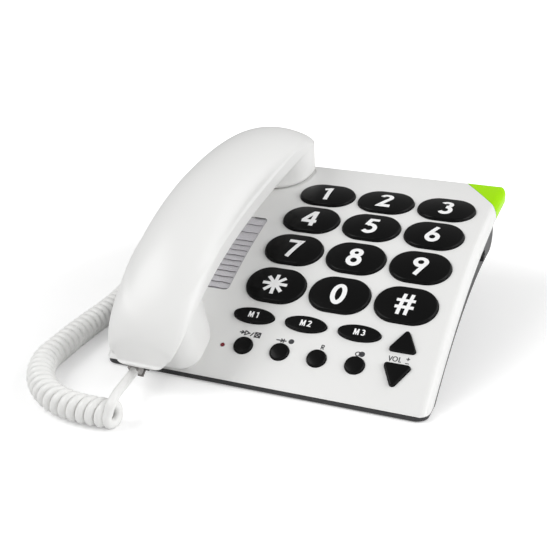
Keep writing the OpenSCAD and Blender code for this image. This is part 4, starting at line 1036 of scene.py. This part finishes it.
# How blunt the crown's and the rim's curves are, in their front half and in their rear half
CROWN_N, RIM_N = (1.88, 2.17), (2.07, 2.62)
PLAN_N, PLAN_STEP, BELLY_N = 6.6, 0.0004, 4
RIM_H, ARCH_H, BELLY_H, BELLY_INSET = 26.2, 12.6, 6.0, 0.25
# Cross-sections along each shell, and where the outermost ones stand
STATIONS, SHELL_END, BELLY_END, BELLY_SIDES = 120, 0.9998, 0.996, 32
# The band along the rim: its height at the sides and ends, and how far it stands out there and
# round the front
SIDE_BAND, END_BAND, BAND_OUT, BAND_FRONT = 9.4, 6.0, 0.9, 1.3
# Where the band starts to grow towards the front, over what run, and how it fades at the rear
FRONT_FROM, FRONT_RUN, REAR_FADE = -0.45, 0.4, 0.2
# The band's upper edge, as shares of its height
EDGE_FROM, EDGE_RUN = 0.9, 0.14
CUP_EDGE, CUP_CORNER, CUP_END = 4.0, 12.0, 21.0
# How far each cup's round end reaches, and how high the cup stands
EAR_REACH, EAR_HEIGHT = 27.0, 23.0
MOUTH_REACH, MOUTH_HEIGHT = 23.0, 34.0


def swell(t, n):
    """1 in the handset's middle and 0 at both its ends, and blunter for a larger n."""
    return max(0.0, 1 - abs(t) ** n) ** (1 / n)


def base_v(t):
    """Height of the straight line between the handset's two ends."""
    return (FRONT_BASE_V + REAR_BASE_V) / 2 + (REAR_BASE_V - FRONT_BASE_V) / 2 * t


def crown_v(t, crown):
    return base_v(t) + (crown - base_v(t)) * swell(t, CROWN_N[t > 0])


def rim_v(t):
    return base_v(t) + (RIM_H - base_v(t)) * swell(t * 0.995, RIM_N[t > 0])


def ease(k):
    """A smooth step from 0 to 1."""
    k = min(1.0, max(0.0, k))
    return k * k * (3 - 2 * k)


def station(i, limit):
    """Places along the handset, from -1 to 1, that crowd towards its ends."""
    return -math.cos(math.pi * i / STATIONS) * limit


def loft(rows):
    """Joins open cross-sections with equal numbers of points."""
    return [p for row in rows for p in row], strip_faces(len(rows), len(rows[0]), closed=False)


class TELEPHONE_OT_handset(bpy.types.Operator):
    """Makes the handset's outer shell, its handle's underside and its two cups"""
    bl_idname = "telephone.handset"
    bl_label = "Handset"

    def execute(self, context):
        handset = settings().handset
        half_w, cup_w = handset.width / 2 / MM, handset.cup_width / MM
        self.back(half_w, handset.crown / MM)
        self.underside(half_w)
        self.cup("handset_ear_cup", ear_frame(), EAR_REACH, EAR_HEIGHT, cup_w)
        self.cup("handset_mouth_cup", mouth_frame(), MOUTH_REACH, MOUTH_HEIGHT, cup_w)
        return {"FINISHED"}

    def back(self, half_w, crown):
        """The outer shell, closed at both ends."""
        rows = [self.section(station(i, SHELL_END), half_w, crown) for i in range(STATIONS + 1)]
        points, faces = loft(rows)
        faces += end_faces(points, len(rows[0]))
        make_piece("handset_back", (points, faces), "shell", "handset", "white_shell",
                   "handset_outer_shell", at=handset_frame(), sharp=50)

    def underside(self, half_w):
        """The handle's rounded underside, between the outer shell's rims."""
        rows = []
        for i in range(STATIONS + 1):
            t = station(i, BELLY_END)
            w = max(0.3, half_w * swell(t, PLAN_N) - BELLY_INSET)
            rim, belly = rim_v(t) - 0.15, BELLY_H * swell(t, BELLY_N)
            rows.append([(w * math.cos(a), t * HALF_L, rim - belly * math.sin(a)) for a in
                         (math.pi * k / BELLY_SIDES for k in range(BELLY_SIDES + 1))])
        make_piece("handset_underside", loft(rows), "shell", "handset", "white_shell",
                   "handset_inner_shell", at=handset_frame())

    def section(self, t, half_w, crown):
        """A cross-section of the outer shell, from one rim over the crown to the other."""
        w = max(0.3, half_w * swell(t, PLAN_N))
        top, rim = crown_v(t, crown), rim_v(t)
        arch = min(ARCH_H, max(0.5, top - rim - 0.5))
        side = max(rim + 0.2, top - arch)
        # The rim's rounded lip, the straight side and the arch over the crown
        lip = rim + 0.15
        half = [(w - 1.2, rim - 0.3), (w - 0.3, rim - 0.25), (w, lip)]
        half += [(w, lip + (side - lip) * k / 16) for k in range(1, 16)]
        half += [(w * math.cos(math.pi * k / 48), side + arch * math.sin(math.pi * k / 48))
                 for k in range(25)]
        # Which way the rim faces here, from the slope of the plan
        before, after = (half_w * swell(max(-0.9995, min(0.9995, t + d)), PLAN_N)
                         for d in (-PLAN_STEP, PLAN_STEP))
        lean = Vector((2 * PLAN_STEP * HALF_L, before - after)).normalized()
        out = BAND_OUT + (BAND_FRONT - BAND_OUT) * ease((FRONT_FROM - t) / FRONT_RUN)
        out *= ease((1 - t) / REAR_FADE)
        end_v = base_v(math.copysign(1, t))
        points = []
        for x, z in half:
            # How far up the band the point is, and its push, which fades at the middle line
            above = lean.x ** 2 * (z - rim) / SIDE_BAND + lean.y ** 2 * (z - end_v) / END_BAND
            push = out * (1 - ease((above - EDGE_FROM) / EDGE_RUN))
            fade = min(1.0, x / 6)
            points.append((x + push * lean.x * fade, t * HALF_L + push * lean.y, z))
        return points + [(-x, y, z) for x, y, z in points[-2::-1]]

    def cup(self, name, at, reach, height, width):
        """A cup with a round end, a square end and a rounded edge at its mouth."""
        def outline(inset):
            w, end, r = width / 2 - inset, CUP_END - inset, CUP_CORNER - inset
            return ([(w * math.cos(a), (reach - inset) * math.sin(a)) for a in
                     (math.pi * (1 + k / 40) for k in range(41))]
                    + arc(w - r, end - r, r, 0, 90, 10) + arc(r - w, end - r, r, 90, 180, 10))

        loops = [(outline(0), height)]
        for k in range(9):
            a = math.radians(90 * k / 8)
            loops.append((outline(CUP_EDGE * (1 - math.cos(a))), CUP_EDGE * (1 - math.sin(a))))
        make_piece(name, loop_stack(loops, base=True), "shell", "handset", "white_shell", at=at)


# ---- Nodes that keep their own shape ----

FINISHES = {
    "shell": ("top_shell", "hook_plunger"),
    "lens": ("ringer_lens",),
    "dark": ("bottom_shell", "desk_stand"),
    "rubber": ("rubber_feet", "microphone_boot"),
    "mat": ("number_key_mat", "small_key_mat"),
    "board": ("keypad_board", "small_key_board", "main_board"),
    "black": ("hook_switch", "ringer_speaker", "line_socket", "base_cord_socket",
              "ringer_switch_knob", "receiver_capsule", "handset_socket"),
    "green": ("ringer_light",),
    "red": ("status_light",),
    "steel": ("case_screws", "stand_screws", "board_screws", "microphone_capsule",
              "handset_screws"),
    "weight": ("handset_weight",),
}


class TELEPHONE_OT_mouldings(bpy.types.Operator):
    """Finishes the mouldings and inner pieces that keep their own shape"""
    bl_idname = "telephone.mouldings"
    bl_label = "Mouldings"

    def execute(self, context):
        for finish, nodes in FINISHES.items():
            for node in nodes:
                paint_node(node, finish)
        return {"FINISHED"}


# ---- Panel and registration ----


class TELEPHONE_PT_build(bpy.types.Panel):
    """Lists the steps that build the telephone"""
    bl_idname = "TELEPHONE_PT_build"
    bl_label = "Telephone"
    bl_space_type = "VIEW_3D"
    bl_region_type = "UI"
    bl_category = "Telephone"

    def draw(self, context):
        for step in STEPS:
            self.layout.operator(step.bl_idname)


STEPS = (TELEPHONE_OT_stage, TELEPHONE_OT_plugs, TELEPHONE_OT_cord, TELEPHONE_OT_mouldings,
         TELEPHONE_OT_number_keys, TELEPHONE_OT_small_keys, TELEPHONE_OT_face_print,
         TELEPHONE_OT_index_card, TELEPHONE_OT_handset)
GROUPS = (HandsetSettings, KeySettings, CordSettings, LookSettings, StageSettings, TelephoneSettings)


def register():
    for item in GROUPS + STEPS + (TELEPHONE_PT_build,):
        bpy.utils.register_class(item)
    bpy.types.Scene.telephone = bpy.props.PointerProperty(type=TelephoneSettings)


def unregister():
    del bpy.types.Scene.telephone
    for item in reversed(GROUPS + STEPS + (TELEPHONE_PT_build,)):
        bpy.utils.unregister_class(item)


def main():
    register()
    make_materials(settings().look)
    bpy.ops.telephone.stage()
    bpy.ops.telephone.plugs()
    bpy.ops.telephone.cord()
    bpy.ops.telephone.mouldings()
    bpy.ops.telephone.number_keys()
    bpy.ops.telephone.small_keys()
    bpy.ops.telephone.face_print()
    bpy.ops.telephone.index_card()
    bpy.ops.telephone.handset()


if __name__ == "__main__":
    main()
